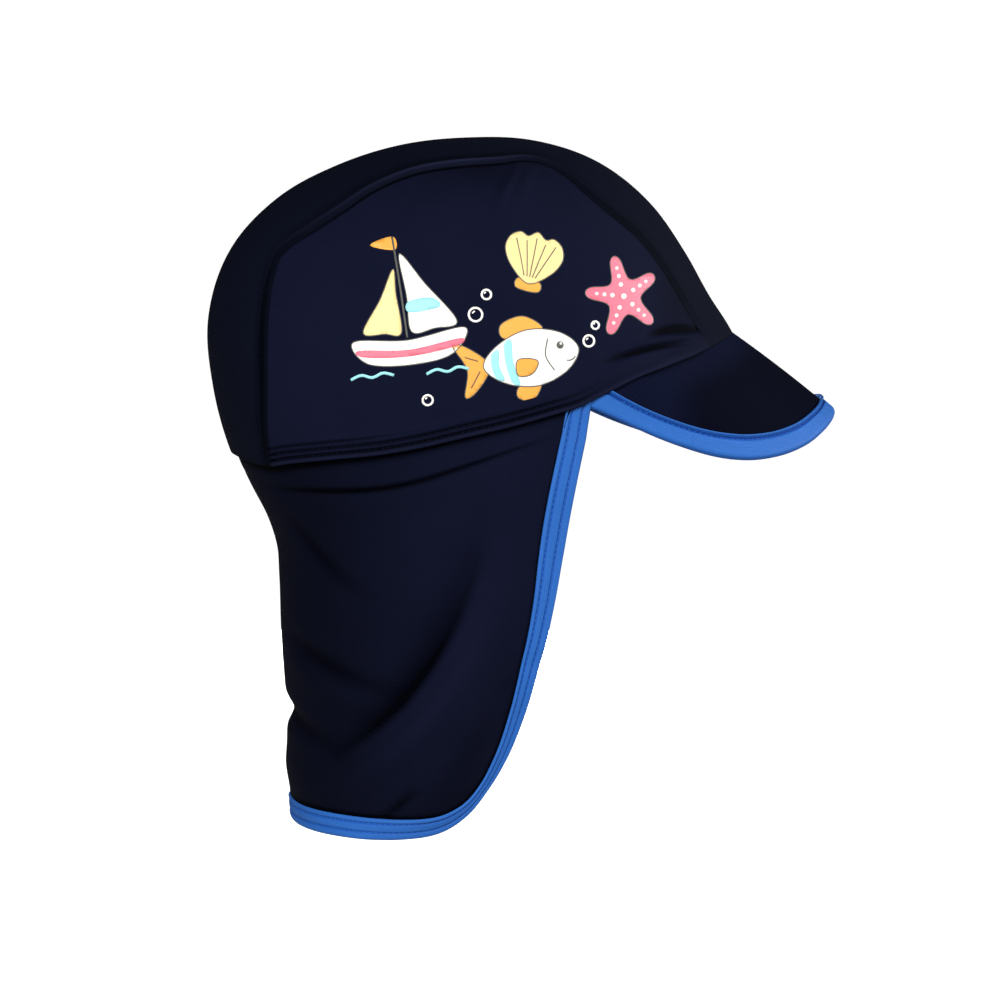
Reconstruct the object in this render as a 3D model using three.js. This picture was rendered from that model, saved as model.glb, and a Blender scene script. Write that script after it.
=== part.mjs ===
// A child's swim cap: a three-panel crown, a curved peak and a long neck flap, the peak and the flap
// edged with folded tape. It is shaped as it sits on a head, with the flap hanging.
// Millimetres. +X is the front, +Y the wearer's left and +Z up. The origin is where the top of the
// head touches the inside of the crown.
import * as THREE from 'three';

// Cloth and seams
const CROWN_WALL = 1.2;
const FLAP_WALL = 1.0;
const PEAK_WALL = 2.4;
const TAPE_WALL = 1.0;
const GAP = 0.3;
const TAPE_GAP = 0.6;

// Crown: a rounded dome about the middle of the head opening
const DOME_X = -8;
const DOME_Z = -90;
const DOME_HALF_WIDTH = 76;
const ROUNDNESS = 2.3;

// The crown from the side: how far it reaches from the middle of the dome. Angle 0 is the front, 90 is up.
const CROWN_PROFILE = [
  { angle: -40, reach: 104.6 },
  { angle: -10, reach: 104.1 },
  { angle: 5, reach: 103 },
  { angle: 12, reach: 99.4 },
  { angle: 20, reach: 95.3 },
  { angle: 32, reach: 94 },
  { angle: 45, reach: 95 },
  { angle: 60, reach: 95.2 },
  { angle: 75, reach: 93.3 },
  { angle: 90, reach: 91.1 },
  { angle: 105, reach: 91.6 },
  { angle: 120, reach: 93.8 },
  { angle: 135, reach: 97.8 },
  { angle: 150, reach: 100.2 },
  { angle: 165, reach: 98.3 },
  { angle: 180, reach: 93.4 },
  { angle: 195, reach: 90.3 },
  { angle: 215, reach: 89 },
  { angle: 240, reach: 89 },
];

// Half the width of the panel that runs over the head from front to back
const CENTRE_PANEL = [
  { angle: 5, halfWidth: 46.4 },
  { angle: 20, halfWidth: 46.2 },
  { angle: 34, halfWidth: 46.9 },
  { angle: 45, halfWidth: 48 },
  { angle: 54, halfWidth: 48.6 },
  { angle: 61, halfWidth: 46.8 },
  { angle: 67, halfWidth: 42.6 },
  { angle: 72, halfWidth: 39 },
  { angle: 77, halfWidth: 38.2 },
  { angle: 84, halfWidth: 40.8 },
  { angle: 94, halfWidth: 41.8 },
  { angle: 106, halfWidth: 42.4 },
  { angle: 118, halfWidth: 44.6 },
  { angle: 128, halfWidth: 47.3 },
  { angle: 136, halfWidth: 47.2 },
  { angle: 142, halfWidth: 45.4 },
  { angle: 146, halfWidth: 44.8 },
  { angle: 151, halfWidth: 46.8 },
  { angle: 158, halfWidth: 49.2 },
  { angle: 168, halfWidth: 50.8 },
  { angle: 180, halfWidth: 49.2 },
  { angle: 192, halfWidth: 45 },
  { angle: 205, halfWidth: 39.4 },
];
const PANEL_CORNER_BACK = 146;
const PANEL_CORNER_FRONT = 72;

// Height of the crown's lower edge, from the back of the head to the forehead
const CROWN_EDGE = [
  { x: -98, z: -113.6 },
  { x: -84, z: -117.2 },
  { x: -76, z: -115.6 },
  { x: -62, z: -113.6 },
  { x: -45, z: -111.5 },
  { x: -31, z: -108.9 },
  { x: -17, z: -105.6 },
  { x: 2, z: -101.2 },
  { x: 18, z: -96.8 },
  { x: 25, z: -94.8 },
  { x: 32, z: -91.4 },
  { x: 39, z: -88.2 },
  { x: 47, z: -84.6 },
  { x: 56, z: -81.6 },
  { x: 68, z: -77.6 },
  { x: 78, z: -74 },
  { x: 94, z: -68.6 },
];

// Peak
const PEAK_CORNER_ANGLE = 61;
const PEAK_CORNER_X = 30.2;
const PEAK_TIP_X = 127.2;
const PEAK_HALF_WIDTH = 71.6;
const PEAK_ROUNDNESS = 2.2;
const PEAK_ROOT_INSET = 0.5;
const PEAK_RISE = 0.7;

// Height of the peak's edge, by how far round it is from the tip
const PEAK_EDGE = [
  { round: 0, z: -98.4 },
  { round: 12, z: -99.8 },
  { round: 24, z: -103.8 },
  { round: 35, z: -108.5 },
  { round: 46, z: -111.8 },
  { round: 56, z: -112.8 },
  { round: 64, z: -111.4 },
  { round: 72, z: -107.8 },
  { round: 79, z: -103.2 },
  { round: 85, z: -98.6 },
  { round: 90, z: -95 },
];

// Width of the peak's tape, by how far round it is from the tip
const PEAK_TAPE = [
  { round: 0, width: 5.4 },
  { round: 15, width: 5.7 },
  { round: 34, width: 6.6 },
  { round: 46, width: 7.4 },
  { round: 60, width: 8.7 },
  { round: 75, width: 9.4 },
  { round: 90, width: 9.4 },
];

// Neck flap, cut across: its reach behind and in front of the dome's middle, and half its width
const FLAP_SECTIONS = [
  { z: -262, back: 64, front: 96, halfWidth: 64 },
  { z: -249, back: 64.8, front: 97, halfWidth: 65 },
  { z: -230, back: 66, front: 98, halfWidth: 66.5 },
  { z: -205, back: 67, front: 100, halfWidth: 68 },
  { z: -180, back: 68.6, front: 102, halfWidth: 69.5 },
  { z: -160, back: 69.2, front: 103, halfWidth: 70.8 },
  { z: -149, back: 70, front: 103.5, halfWidth: 71.5 },
  { z: -138, back: 73.6, front: 104, halfWidth: 72.2 },
  { z: -127, back: 79.2, front: 104.5, halfWidth: 73 },
  { z: -116, back: 84.2, front: 105, halfWidth: 73.8 },
  { z: -100, back: 90, front: 105, halfWidth: 74.3 },
  { z: -85, back: 92, front: 105, halfWidth: 74.3 },
];

// The flap's free edge, from its front corner under the crown round to the middle of the back.
// turn is the angle from the middle of the back, and share the place along the edge.
const FLAP_EDGE = [
  { share: 0, turn: 117.2, z: -95.6 },
  { share: 0.08, turn: 115.4, z: -110 },
  { share: 0.18, turn: 113.5, z: -128 },
  { share: 0.29, turn: 111.6, z: -147 },
  { share: 0.4, turn: 109.3, z: -167 },
  { share: 0.5, turn: 106.3, z: -187.2 },
  { share: 0.58, turn: 103, z: -205.4 },
  { share: 0.65, turn: 98.2, z: -220.8 },
  { share: 0.71, turn: 92, z: -232.4 },
  { share: 0.76, turn: 84.8, z: -241.6 },
  { share: 0.81, turn: 75, z: -248 },
  { share: 0.86, turn: 62, z: -250.2 },
  { share: 0.92, turn: 38, z: -250.2 },
  { share: 1, turn: 0, z: -249.4 },
];
const FLAP_TUCK = 5;
const TUCK_GAP = 0.7;
const FLAP_JOIN_DEPTH = 18;
const FLAP_TAPE_START = 0.025;
const TAPE_BEVEL = 0.6;

// Width of the flap's tape, which looks narrower where the flap's corner curls in
const FLAP_TAPE = [
  { share: 0, width: 7.2 },
  { share: 0.3, width: 7 },
  { share: 0.42, width: 5.9 },
  { share: 0.5, width: 5.4 },
  { share: 0.6, width: 5 },
  { share: 0.67, width: 4.2 },
  { share: 0.71, width: 3.4 },
  { share: 0.74, width: 3.4 },
  { share: 0.78, width: 4.4 },
  { share: 0.82, width: 5.8 },
  { share: 0.87, width: 6.8 },
  { share: 1, width: 7.2 },
];

// The elastic sewn inside the crown's edge shows through the flap as a shallow step inwards, at a
// depth below the crown's edge
const BAND_SOFTNESS = 2.5;
const BAND = [
  { turn: 0, depth: 5.5, step: 0.1 },
  { turn: 25, depth: 7, step: 0.3 },
  { turn: 38, depth: 9.4, step: 1 },
  { turn: 50, depth: 11, step: 1.5 },
  { turn: 65, depth: 11.5, step: 1.5 },
  { turn: 85, depth: 10, step: 1.2 },
  { turn: 98, depth: 8.5, step: 0.6 },
  { turn: 106, depth: 8, step: 0.2 },
  { turn: 120, depth: 8, step: 0 },
];

// Folds of the flap, each along a bent line from a through b to c. turn is in degrees from the middle
// of the back, height is z, and depth is how far the cloth goes in, or out where it is negative.
const FOLDS = [
  { name: 'side swag', turnA: 92, zA: -134, turnB: 76, zB: -200, turnC: 40, zC: -219, depth: 5, width: 7 },
  { name: 'swag ridge', turnA: 96, zA: -150, turnB: 83, zB: -210, turnC: 44, zC: -232, depth: -2.6, width: 6.5 },
  { name: 'front hollow', turnA: 102, zA: -172, turnB: 96, zB: -208, turnC: 78, zC: -228, depth: 1.6, width: 8 },
  { name: 'upper back', turnA: 26, zA: -133, turnB: 33, zB: -148, turnC: 56, zC: -164, depth: 1.6, width: 4 },
  { name: 'middle back', turnA: 17, zA: -180, turnB: 38, zB: -187, turnC: 64, zC: -200, depth: 2.1, width: 4 },
  { name: 'middle swell', turnA: 20, zA: -191, turnB: 42, zB: -197, turnC: 60, zC: -206, depth: -1.1, width: 5 },
  { name: 'back notch', turnA: 46, zA: -223, turnB: 0, zB: -195, turnC: -46, zC: -223, depth: 3, width: 4.2 },
  { name: 'back swell', turnA: 40, zA: -237, turnB: 0, zB: -223, turnC: -40, zC: -237, depth: -1, width: 7 },
  { name: 'corner curl', turnA: 105, zA: -190, turnB: 99, zB: -250, turnC: 60, zC: -253, depth: 6, width: 9 },
];
const FOLD_STEPS = 16;
const FLAP_MM_PER_DEGREE = 1.2;

// How finely each piece is divided
const PANEL_COLUMNS = 18;
const PANEL_ROWS = 9;
const CENTRE_COLUMNS = 10;
const PEAK_COLUMNS = 28;
const PEAK_ROWS = 5;
const FLAP_COLUMNS = 64;
const FLAP_ROWS = 14;

const NAVY = 0x161c30;
const BLUE = 0x2f66b8;

const DEGREE = Math.PI / 180;
const lerp = (a, b, t) => a + (b - a) * t;
const clamp = (value, low, high) => Math.min(high, Math.max(low, value));
const smooth = t => t * t * (3 - 2 * t);

// A smooth curve through a table: the value in one column for a value in another
function curveThrough(rows, input, output) {
  const last = rows.length - 1;
  const run = i => rows[i + 1][input] - rows[i][input];
  const rise = i => (rows[i + 1][output] - rows[i][output]) / run(i);
  const slopes = rows.map((row, i) => {
    if (i === 0) return rise(0);
    if (i === last) return rise(last - 1);
    return (run(i - 1) * rise(i) + run(i) * rise(i - 1)) / (run(i - 1) + run(i));
  });
  return at => {
    let i = 0;
    while (i < last - 1 && at > rows[i + 1][input]) i += 1;
    const t = clamp((at - rows[i][input]) / run(i), 0, 1);
    const bend = t * (1 - t) * run(i) * (slopes[i] * (1 - t) - slopes[i + 1] * t);
    return lerp(rows[i][output], rows[i + 1][output], smooth(t)) + bend;
  };
}

const crownReach = curveThrough(CROWN_PROFILE, 'angle', 'reach');
const centreHalfWidth = curveThrough(CENTRE_PANEL, 'angle', 'halfWidth');
const crownEdgeHeight = curveThrough(CROWN_EDGE, 'x', 'z');
const peakEdgeHeight = curveThrough(PEAK_EDGE, 'round', 'z');
const flapBack = curveThrough(FLAP_SECTIONS, 'z', 'back');
const flapFront = curveThrough(FLAP_SECTIONS, 'z', 'front');
const flapHalfWidth = curveThrough(FLAP_SECTIONS, 'z', 'halfWidth');
const flapEdgeTurn = curveThrough(FLAP_EDGE, 'share', 'turn');
const flapEdgeHeight = curveThrough(FLAP_EDGE, 'share', 'z');
const peakTableWidth = curveThrough(PEAK_TAPE, 'round', 'width');
const flapTableWidth = curveThrough(FLAP_TAPE, 'share', 'width');
const bandDepth = curveThrough(BAND, 'turn', 'depth');
const bandStep = curveThrough(BAND, 'turn', 'step');

// The value between low and high where a rising test turns from true to false
function lastTrue(low, high, test) {
  for (let i = 0; i < 40; i += 1) {
    const middle = (low + high) / 2;
    if (test(middle)) low = middle;
    else high = middle;
  }
  return low;
}

// How far out a point is as a share of the way to the crown's outline seen from the side
function sideShare(x, z) {
  const angle = Math.atan2(z - DOME_Z, x - DOME_X) / DEGREE;
  const reach = crownReach(angle < -60 ? angle + 360 : angle);
  return Math.hypot(x - DOME_X, z - DOME_Z) / reach;
}

// Below 1 inside the crown's outer surface and above 1 outside it
function crownLevel(x, y, z) {
  return sideShare(x, z) ** ROUNDNESS + (Math.abs(y) / DOME_HALF_WIDTH) ** ROUNDNESS;
}

function crownHalfWidthAt(x, z) {
  const left = Math.max(0, 1 - sideShare(x, z) ** ROUNDNESS);
  return DOME_HALF_WIDTH * left ** (1 / ROUNDNESS);
}

function crownPoint(angle, y) {
  const share = (1 - (Math.abs(y) / DOME_HALF_WIDTH) ** ROUNDNESS) ** (1 / ROUNDNESS);
  const reach = crownReach(angle) * share;
  return new THREE.Vector3(
    DOME_X + reach * Math.cos(angle * DEGREE), y, DOME_Z + reach * Math.sin(angle * DEGREE));
}

// The outward direction of a surface that is given as a level rising outwards
function normalOf(level, p) {
  const step = 0.02;
  return new THREE.Vector3(
    level(p.x + step, p.y, p.z) - level(p.x - step, p.y, p.z),
    level(p.x, p.y + step, p.z) - level(p.x, p.y - step, p.z),
    level(p.x, p.y, p.z + step) - level(p.x, p.y, p.z - step)).normalize();
}

const onCrown = point => ({ point, normal: normalOf(crownLevel, point) });

// A closed solid between a grid of surface points and the same grid moved inwards by the wall
function sheetSolid(grid, wall) {
  const rows = grid.length;
  const columns = grid[0].length;
  const positions = [];
  const index = [];
  for (const depth of [0, wall]) {
    for (const { point, normal } of grid.flat()) {
      positions.push(...point.clone().addScaledVector(normal, -depth).toArray());
    }
  }
  const at = (row, column, inner) => inner * rows * columns + row * columns + column;
  const quad = (a, b, c, d) => index.push(a, b, c, a, c, d);
  for (let r = 0; r + 1 < rows; r += 1) {
    for (let c = 0; c + 1 < columns; c += 1) {
      quad(at(r, c, 0), at(r, c + 1, 0), at(r + 1, c + 1, 0), at(r + 1, c, 0));
      quad(at(r, c, 1), at(r + 1, c, 1), at(r + 1, c + 1, 1), at(r, c + 1, 1));
    }
    quad(at(r, 0, 0), at(r + 1, 0, 0), at(r + 1, 0, 1), at(r, 0, 1));
    quad(at(r, columns - 1, 0), at(r, columns - 1, 1), at(r + 1, columns - 1, 1), at(r + 1, columns - 1, 0));
  }
  for (let c = 0; c + 1 < columns; c += 1) {
    quad(at(0, c, 0), at(0, c, 1), at(0, c + 1, 1), at(0, c + 1, 0));
    quad(at(rows - 1, c, 0), at(rows - 1, c + 1, 0), at(rows - 1, c + 1, 1), at(rows - 1, c, 1));
  }
  return closedSolid(positions, index);
}

// A folded tape round the edge of a sheet. surfaceAt(station, inward) gives the sheet's outer surface
// at a distance inward from the edge, and widthAt(station) how far the tape reaches in.
function tapeSolid(stations, surfaceAt, widthAt, sheetWall) {
  const outside = TAPE_GAP + TAPE_WALL;
  const profileAt = width => [
    [width, outside],
    [TAPE_BEVEL - outside, outside],
    [-outside, outside - TAPE_BEVEL],
    [-outside, TAPE_BEVEL - outside - sheetWall],
    [TAPE_BEVEL - outside, -outside - sheetWall],
    [width, -outside - sheetWall],
    [width, -TAPE_GAP - sheetWall],
    [-TAPE_GAP, -TAPE_GAP - sheetWall],
    [-TAPE_GAP, TAPE_GAP],
    [width, TAPE_GAP],
  ];
  const positions = [];
  const index = [];
  const corners = profileAt(1).length;
  for (const station of stations) {
    for (const [inward, out] of profileAt(widthAt(station))) {
      const { point, normal } = surfaceAt(station, inward);
      positions.push(...point.clone().addScaledVector(normal, out).toArray());
    }
  }
  const at = (s, k) => s * corners + (k % corners);
  for (let s = 0; s + 1 < stations.length; s += 1) {
    for (let k = 0; k < corners; k += 1) {
      index.push(at(s, k), at(s, k + 1), at(s + 1, k + 1), at(s, k), at(s + 1, k + 1), at(s + 1, k));
    }
  }
  const outline = profileAt(widthAt(stations[0])).map(([inward, out]) => new THREE.Vector2(inward, out));
  const turned = THREE.ShapeUtils.isClockWise(outline);
  const lastStation = stations.length - 1;
  for (const [a, b, c] of THREE.ShapeUtils.triangulateShape(outline, [])) {
    const [first, second] = turned ? [c, b] : [b, c];
    index.push(at(0, a), at(0, second), at(0, first));
    index.push(at(lastStation, a), at(lastStation, first), at(lastStation, second));
  }
  return closedSolid(positions, index);
}

// A geometry from a closed mesh, turned so that its faces point out
function closedSolid(positions, index) {
  const corner = i => new THREE.Vector3().fromArray(positions, 3 * i);
  let volume = 0;
  for (let i = 0; i < index.length; i += 3) {
    volume += corner(index[i]).dot(corner(index[i + 1]).cross(corner(index[i + 2])));
  }
  if (volume < 0) {
    for (let i = 0; i < index.length; i += 3) {
      [index[i], index[i + 1]] = [index[i + 1], index[i]];
    }
  }
  const geometry = new THREE.BufferGeometry();
  geometry.setAttribute('position', new THREE.Float32BufferAttribute(positions, 3));
  geometry.setIndex(index);
  geometry.computeVertexNormals();
  return geometry;
}

// The angle at which the crown's surface at sideways place y meets its lower edge, at the front or back
function crownEdgeAngle(y, atBack) {
  const aboveEdge = angle => {
    const p = crownPoint(angle, y);
    return p.z > crownEdgeHeight(p.x);
  };
  if (atBack) return lastTrue(150, 230, aboveEdge);
  return lastTrue(-40, 60, angle => !aboveEdge(angle));
}

// Angles along the seam between the centre panel and a side panel, from the forehead to the nape
function seamAngles() {
  const front = crownEdgeAngle(centreHalfWidth(11), false);
  const back = crownEdgeAngle(centreHalfWidth(199), true);
  const angles = [];
  for (let i = 0; i < PANEL_ROWS; i += 1) angles.push(lerp(front, PANEL_CORNER_FRONT, i / PANEL_ROWS));
  for (let i = 0; i < PANEL_COLUMNS; i += 1) {
    angles.push(lerp(PANEL_CORNER_FRONT, PANEL_CORNER_BACK, i / PANEL_COLUMNS));
  }
  for (let i = 0; i <= PANEL_ROWS; i += 1) angles.push(lerp(PANEL_CORNER_BACK, back, i / PANEL_ROWS));
  return angles;
}

const SEAM = seamAngles();

function centrePanel() {
  const front = SEAM[0];
  const back = SEAM[SEAM.length - 1];
  const grid = SEAM.map(seamAngle => {
    const row = [];
    for (let c = 0; c <= CENTRE_COLUMNS; c += 1) {
      const across = lerp(-1, 1, c / CENTRE_COLUMNS);
      const y = across * (centreHalfWidth(seamAngle) - GAP / 2);
      const along = (seamAngle - front) / (back - front);
      const frontEnd = crownEdgeAngle(across * centreHalfWidth(front), false);
      const backEnd = crownEdgeAngle(across * centreHalfWidth(back), true);
      row.push(onCrown(crownPoint(lerp(frontEnd, backEnd, along), y)));
    }
    return row;
  });
  return sheetSolid(grid, CROWN_WALL);
}

// A side panel is blended between its seam and the crown's lower edge, seen from the side
function sidePanel(side) {
  const seam = SEAM.map(angle => crownPoint(angle, centreHalfWidth(angle) + GAP / 2));
  const frontPart = seam.slice(0, PANEL_ROWS + 1);
  const topPart = seam.slice(PANEL_ROWS, PANEL_ROWS + PANEL_COLUMNS + 1);
  const backPart = seam.slice(PANEL_ROWS + PANEL_COLUMNS).reverse();
  const frontCorner = frontPart[0];
  const backCorner = backPart[0];
  const grid = [];
  for (let r = 0; r <= PANEL_ROWS; r += 1) {
    const v = r / PANEL_ROWS;
    const row = [];
    for (let c = 0; c <= PANEL_COLUMNS; c += 1) {
      const u = c / PANEL_COLUMNS;
      const edgeX = lerp(frontCorner.x, backCorner.x, u);
      const blend = (bottom, axis) =>
        lerp(bottom, topPart[c][axis], v) + lerp(frontPart[r][axis], backPart[r][axis], u)
        - lerp(lerp(frontCorner[axis], backCorner[axis], u), lerp(topPart[0][axis],
          topPart[PANEL_COLUMNS][axis], u), v);
      const x = blend(edgeX, 'x');
      const z = blend(crownEdgeHeight(edgeX), 'z');
      row.push(onCrown(new THREE.Vector3(x, side * crownHalfWidthAt(x, z), z)));
    }
    grid.push(row);
  }
  return sheetSolid(grid, CROWN_WALL);
}

// The crown's lower edge in the plan direction given by an angle from the front
function crownEdgePoint(angle, side) {
  const place = r => {
    const x = DOME_X + r * Math.cos(angle * DEGREE);
    return new THREE.Vector3(x, side * r * Math.sin(angle * DEGREE), crownEdgeHeight(x));
  };
  return place(lastTrue(20, 130, r => {
    const p = place(r);
    return crownLevel(p.x, p.y, p.z) < 1;
  }));
}

// Surface of the peak: across runs from -1 at the right corner to 1 at the left one, and along from 0
// at the crown to 1 at the edge
function peakAt(across, along) {
  const place = (a, t) => {
    const side = a < 0 ? -1 : 1;
    const round = Math.abs(a) * 90;
    const root = crownEdgePoint(Math.abs(a) * PEAK_CORNER_ANGLE, side);
    root.addScaledVector(normalOf(crownLevel, root), -PEAK_ROOT_INSET);
    const forward = Math.cos(round * DEGREE) ** (2 / PEAK_ROUNDNESS);
    const sideways = Math.sin(round * DEGREE) ** (2 / PEAK_ROUNDNESS);
    const edge = new THREE.Vector3(
      lerp(PEAK_CORNER_X, PEAK_TIP_X, forward), side * PEAK_HALF_WIDTH * sideways, peakEdgeHeight(round));
    const length = root.distanceTo(edge);
    const start = 2 * GAP / length;
    const point = root.clone().lerp(edge, lerp(start, 1, t));
    point.z += PEAK_RISE * 4 * t * (1 - t) * Math.min(1, length / 30);
    return { point, length };
  };
  const step = 0.01;
  const { point, length } = place(across, along);
  const alongStep = place(across, along + step).point.sub(place(across, along - step).point);
  const a = clamp(across, step - 1, 1 - step);
  const acrossStep = place(a + step, along).point.sub(place(a - step, along).point);
  return { point, length, normal: alongStep.cross(acrossStep).normalize() };
}

const peakStations = Array.from({ length: PEAK_COLUMNS + 1 }, (_, i) => lerp(-1, 1, i / PEAK_COLUMNS));

const peakTapeWidth = across =>
  Math.min(peakTableWidth(90 * Math.abs(across)), peakAt(across, 1).length - 5 * GAP);

function peak() {
  const grid = peakStations.map(across => {
    const tapeEdge = 1 - peakTapeWidth(across) / peakAt(across, 1).length;
    const row = [];
    for (let r = 0; r < PEAK_ROWS; r += 1) row.push(peakAt(across, tapeEdge * r / (PEAK_ROWS - 1)));
    row.push(peakAt(across, 1));
    return row;
  });
  return sheetSolid(grid, PEAK_WALL);
}

function peakTape() {
  const surfaceAt = (across, inward) => peakAt(across, 1 - inward / peakAt(across, 1).length);
  return tapeSolid(peakStations, surfaceAt, peakTapeWidth, PEAK_WALL);
}

// How far the folds carry the flap inwards at a place on it
function foldDepth(turn, z) {
  const place = (fold, t, mirror) => {
    const curve = (a, b, c) => (1 - t) ** 2 * a + 2 * t * (1 - t) * b + t ** 2 * c;
    return [mirror * curve(fold.turnA, fold.turnB, fold.turnC), curve(fold.zA, fold.zB, fold.zC)];
  };
  let depth = 0;
  for (const fold of FOLDS) {
    let nearest = Infinity;
    let fade = 0;
    const mirrors = fold.turnB === 0 ? [1] : [1, -1];
    for (const mirror of mirrors) {
      for (let i = 0; i <= FOLD_STEPS; i += 1) {
        const t = i / FOLD_STEPS;
        const [foldTurn, foldZ] = place(fold, t, mirror);
        const distance = Math.hypot((turn - foldTurn) * FLAP_MM_PER_DEGREE, z - foldZ);
        if (distance < nearest) {
          nearest = distance;
          fade = Math.sin(Math.PI * lerp(0.08, 0.92, t));
        }
      }
    }
    depth += fold.depth * fade * Math.exp(-((nearest / fold.width) ** 2));
  }
  return depth;
}

// The flap's distance from the dome's middle axis, seen from above
function flapReach(turn, z) {
  const angle = (180 - Math.abs(turn)) * DEGREE;
  const forward = Math.cos(angle);
  const length = forward < 0 ? flapBack(z) : flapFront(z);
  const hanging = ((Math.abs(forward) / length) ** ROUNDNESS
    + (Math.sin(angle) / flapHalfWidth(z)) ** ROUNDNESS) ** (-1 / ROUNDNESS);
  const edge = crownEdgePoint(180 - Math.abs(turn), 1);
  const edgeNormal = normalOf(crownLevel, edge);
  const below = edge.z - z;
  const underCrown = lastTrue(20, 130, r => crownLevel(
    DOME_X + r * forward, r * Math.sin(angle), Math.max(z, edge.z - FLAP_JOIN_DEPTH)) < 1)
    - (CROWN_WALL + TUCK_GAP) / Math.hypot(edgeNormal.x, edgeNormal.y);
  const join = smooth(clamp(below / FLAP_JOIN_DEPTH, 0, 1));
  const pastBand = (below - bandDepth(Math.abs(turn))) / BAND_SOFTNESS + 0.5;
  const step = bandStep(Math.abs(turn)) * smooth(clamp(pastBand, 0, 1));
  const folds = foldDepth(turn, z) * smooth(clamp(below / (2 * FLAP_JOIN_DEPTH), 0, 1));
  const settle = 1 - smooth(clamp((below - FLAP_JOIN_DEPTH) / FLAP_JOIN_DEPTH, 0, 1));
  return lerp(underCrown, hanging, join) - step * settle - folds;
}

function flapAt(turn, z) {
  const angle = (180 - turn) * DEGREE;
  const level = (x, y, height) => {
    const around = 180 - Math.atan2(-y, x - DOME_X) / DEGREE;
    return Math.hypot(x - DOME_X, y) - flapReach(around > 180 ? around - 360 : around, height);
  };
  const reach = flapReach(turn, z);
  const point = new THREE.Vector3(DOME_X + reach * Math.cos(angle), -reach * Math.sin(angle), z);
  return { point, normal: normalOf(level, point) };
}

// Place at a distance inward from the flap's cloth edge, which lies just inside the tape's fold.
// share runs from 0 at the right corner through 1 at the middle of the back to 2 at the left corner.
function flapEdgePlace(share, inward) {
  const place = s => {
    const part = s > 1 ? 2 - s : s;
    return { turn: (s > 1 ? -1 : 1) * flapEdgeTurn(part), z: flapEdgeHeight(part) };
  };
  const step = 0.01;
  const here = place(share);
  const before = place(Math.max(0, share - step));
  const after = place(Math.min(2, share + step));
  const run = (after.turn - before.turn) * FLAP_MM_PER_DEGREE;
  const drop = after.z - before.z;
  const scale = (inward + TAPE_GAP + TAPE_WALL) / Math.hypot(run, drop);
  return { turn: here.turn + scale * drop / FLAP_MM_PER_DEGREE, z: here.z - scale * run };
}

const flapTapeStations = Array.from({ length: FLAP_COLUMNS + 1 }, (_, i) =>
  lerp(FLAP_TAPE_START, 2 - FLAP_TAPE_START, i / FLAP_COLUMNS));
const flapStations = [0, ...flapTapeStations, 2];
const flapTapeWidth = share => flapTableWidth(share > 1 ? 2 - share : share);

// The flap's columns run down from under the crown to the tape's inner edge, and on to the free edge
function neckFlap() {
  const grid = flapStations.map(share => {
    const edge = flapEdgePlace(share, 0);
    const tapeEdge = flapEdgePlace(share, flapTapeWidth(share));
    const topTurn = FLAP_EDGE[0].turn * (1 - share);
    const topZ = crownEdgePoint(180 - Math.abs(topTurn), 1).z + FLAP_TUCK;
    const column = [];
    for (let r = 0; r < FLAP_ROWS; r += 1) {
      const t = r / (FLAP_ROWS - 1);
      column.push(flapAt(lerp(topTurn, tapeEdge.turn, t), lerp(topZ, tapeEdge.z, t)));
    }
    column.push(flapAt(edge.turn, edge.z));
    return column;
  });
  return sheetSolid(grid, FLAP_WALL);
}

function flapTape() {
  const surfaceAt = (share, inward) => {
    const place = flapEdgePlace(share, inward);
    return flapAt(place.turn, place.z);
  };
  return tapeSolid(flapTapeStations, surfaceAt, flapTapeWidth, FLAP_WALL);
}

const navyCloth = new THREE.MeshStandardMaterial({ color: NAVY, roughness: 0.75, metalness: 0 });
const blueTape = new THREE.MeshStandardMaterial({ color: BLUE, roughness: 0.65, metalness: 0 });

function named(name, geometry, material) {
  const mesh = new THREE.Mesh(geometry, material);
  mesh.name = name;
  return mesh;
}

const cap = new THREE.Group();
cap.add(
  named('crown_centre_panel', centrePanel(), navyCloth),
  named('crown_side_panel_right', sidePanel(-1), navyCloth),
  named('crown_side_panel_left', sidePanel(1), navyCloth),
  named('peak', peak(), navyCloth),
  named('peak_binding', peakTape(), blueTape),
  named('neck_flap', neckFlap(), navyCloth),
  named('flap_binding', flapTape(), blueTape));

export default cap;
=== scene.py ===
"""A child's swim cap, dressed round its frame: knit panels, folded tapes, stitches and a sea print.

Sizes are in millimetres until a mesh is made. +X is the front, +Y the wearer's left and +Z up.
"""

import bpy
import numpy as np
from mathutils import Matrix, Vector
from mathutils.geometry import delaunay_2d_cdt


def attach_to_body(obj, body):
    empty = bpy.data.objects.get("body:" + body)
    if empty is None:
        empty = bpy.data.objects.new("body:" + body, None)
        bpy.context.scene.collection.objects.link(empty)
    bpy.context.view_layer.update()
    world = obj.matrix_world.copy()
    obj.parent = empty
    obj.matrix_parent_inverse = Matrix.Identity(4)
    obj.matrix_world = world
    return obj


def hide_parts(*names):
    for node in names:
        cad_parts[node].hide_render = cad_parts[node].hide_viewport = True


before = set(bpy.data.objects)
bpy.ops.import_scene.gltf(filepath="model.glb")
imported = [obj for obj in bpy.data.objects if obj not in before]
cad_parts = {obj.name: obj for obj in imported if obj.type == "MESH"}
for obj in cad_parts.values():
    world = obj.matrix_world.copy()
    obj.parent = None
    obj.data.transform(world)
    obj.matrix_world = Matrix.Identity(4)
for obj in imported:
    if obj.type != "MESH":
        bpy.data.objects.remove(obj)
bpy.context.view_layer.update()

MM = 0.001

# Camera, fitted to the photograph: its picture spans 370 mm at the cap's middle
VIEW_AZIMUTH = -6.0
VIEW_ELEVATION = 4.0
VIEW_DISTANCE = 1600.0
VIEW_SPAN = 370.0
VIEW_CENTRE = (4.4, 0.0, -132.6)
SENSOR = 36.0

# Stage
FLOOR_Z = -420.0
SURROUND = 0.07

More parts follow.
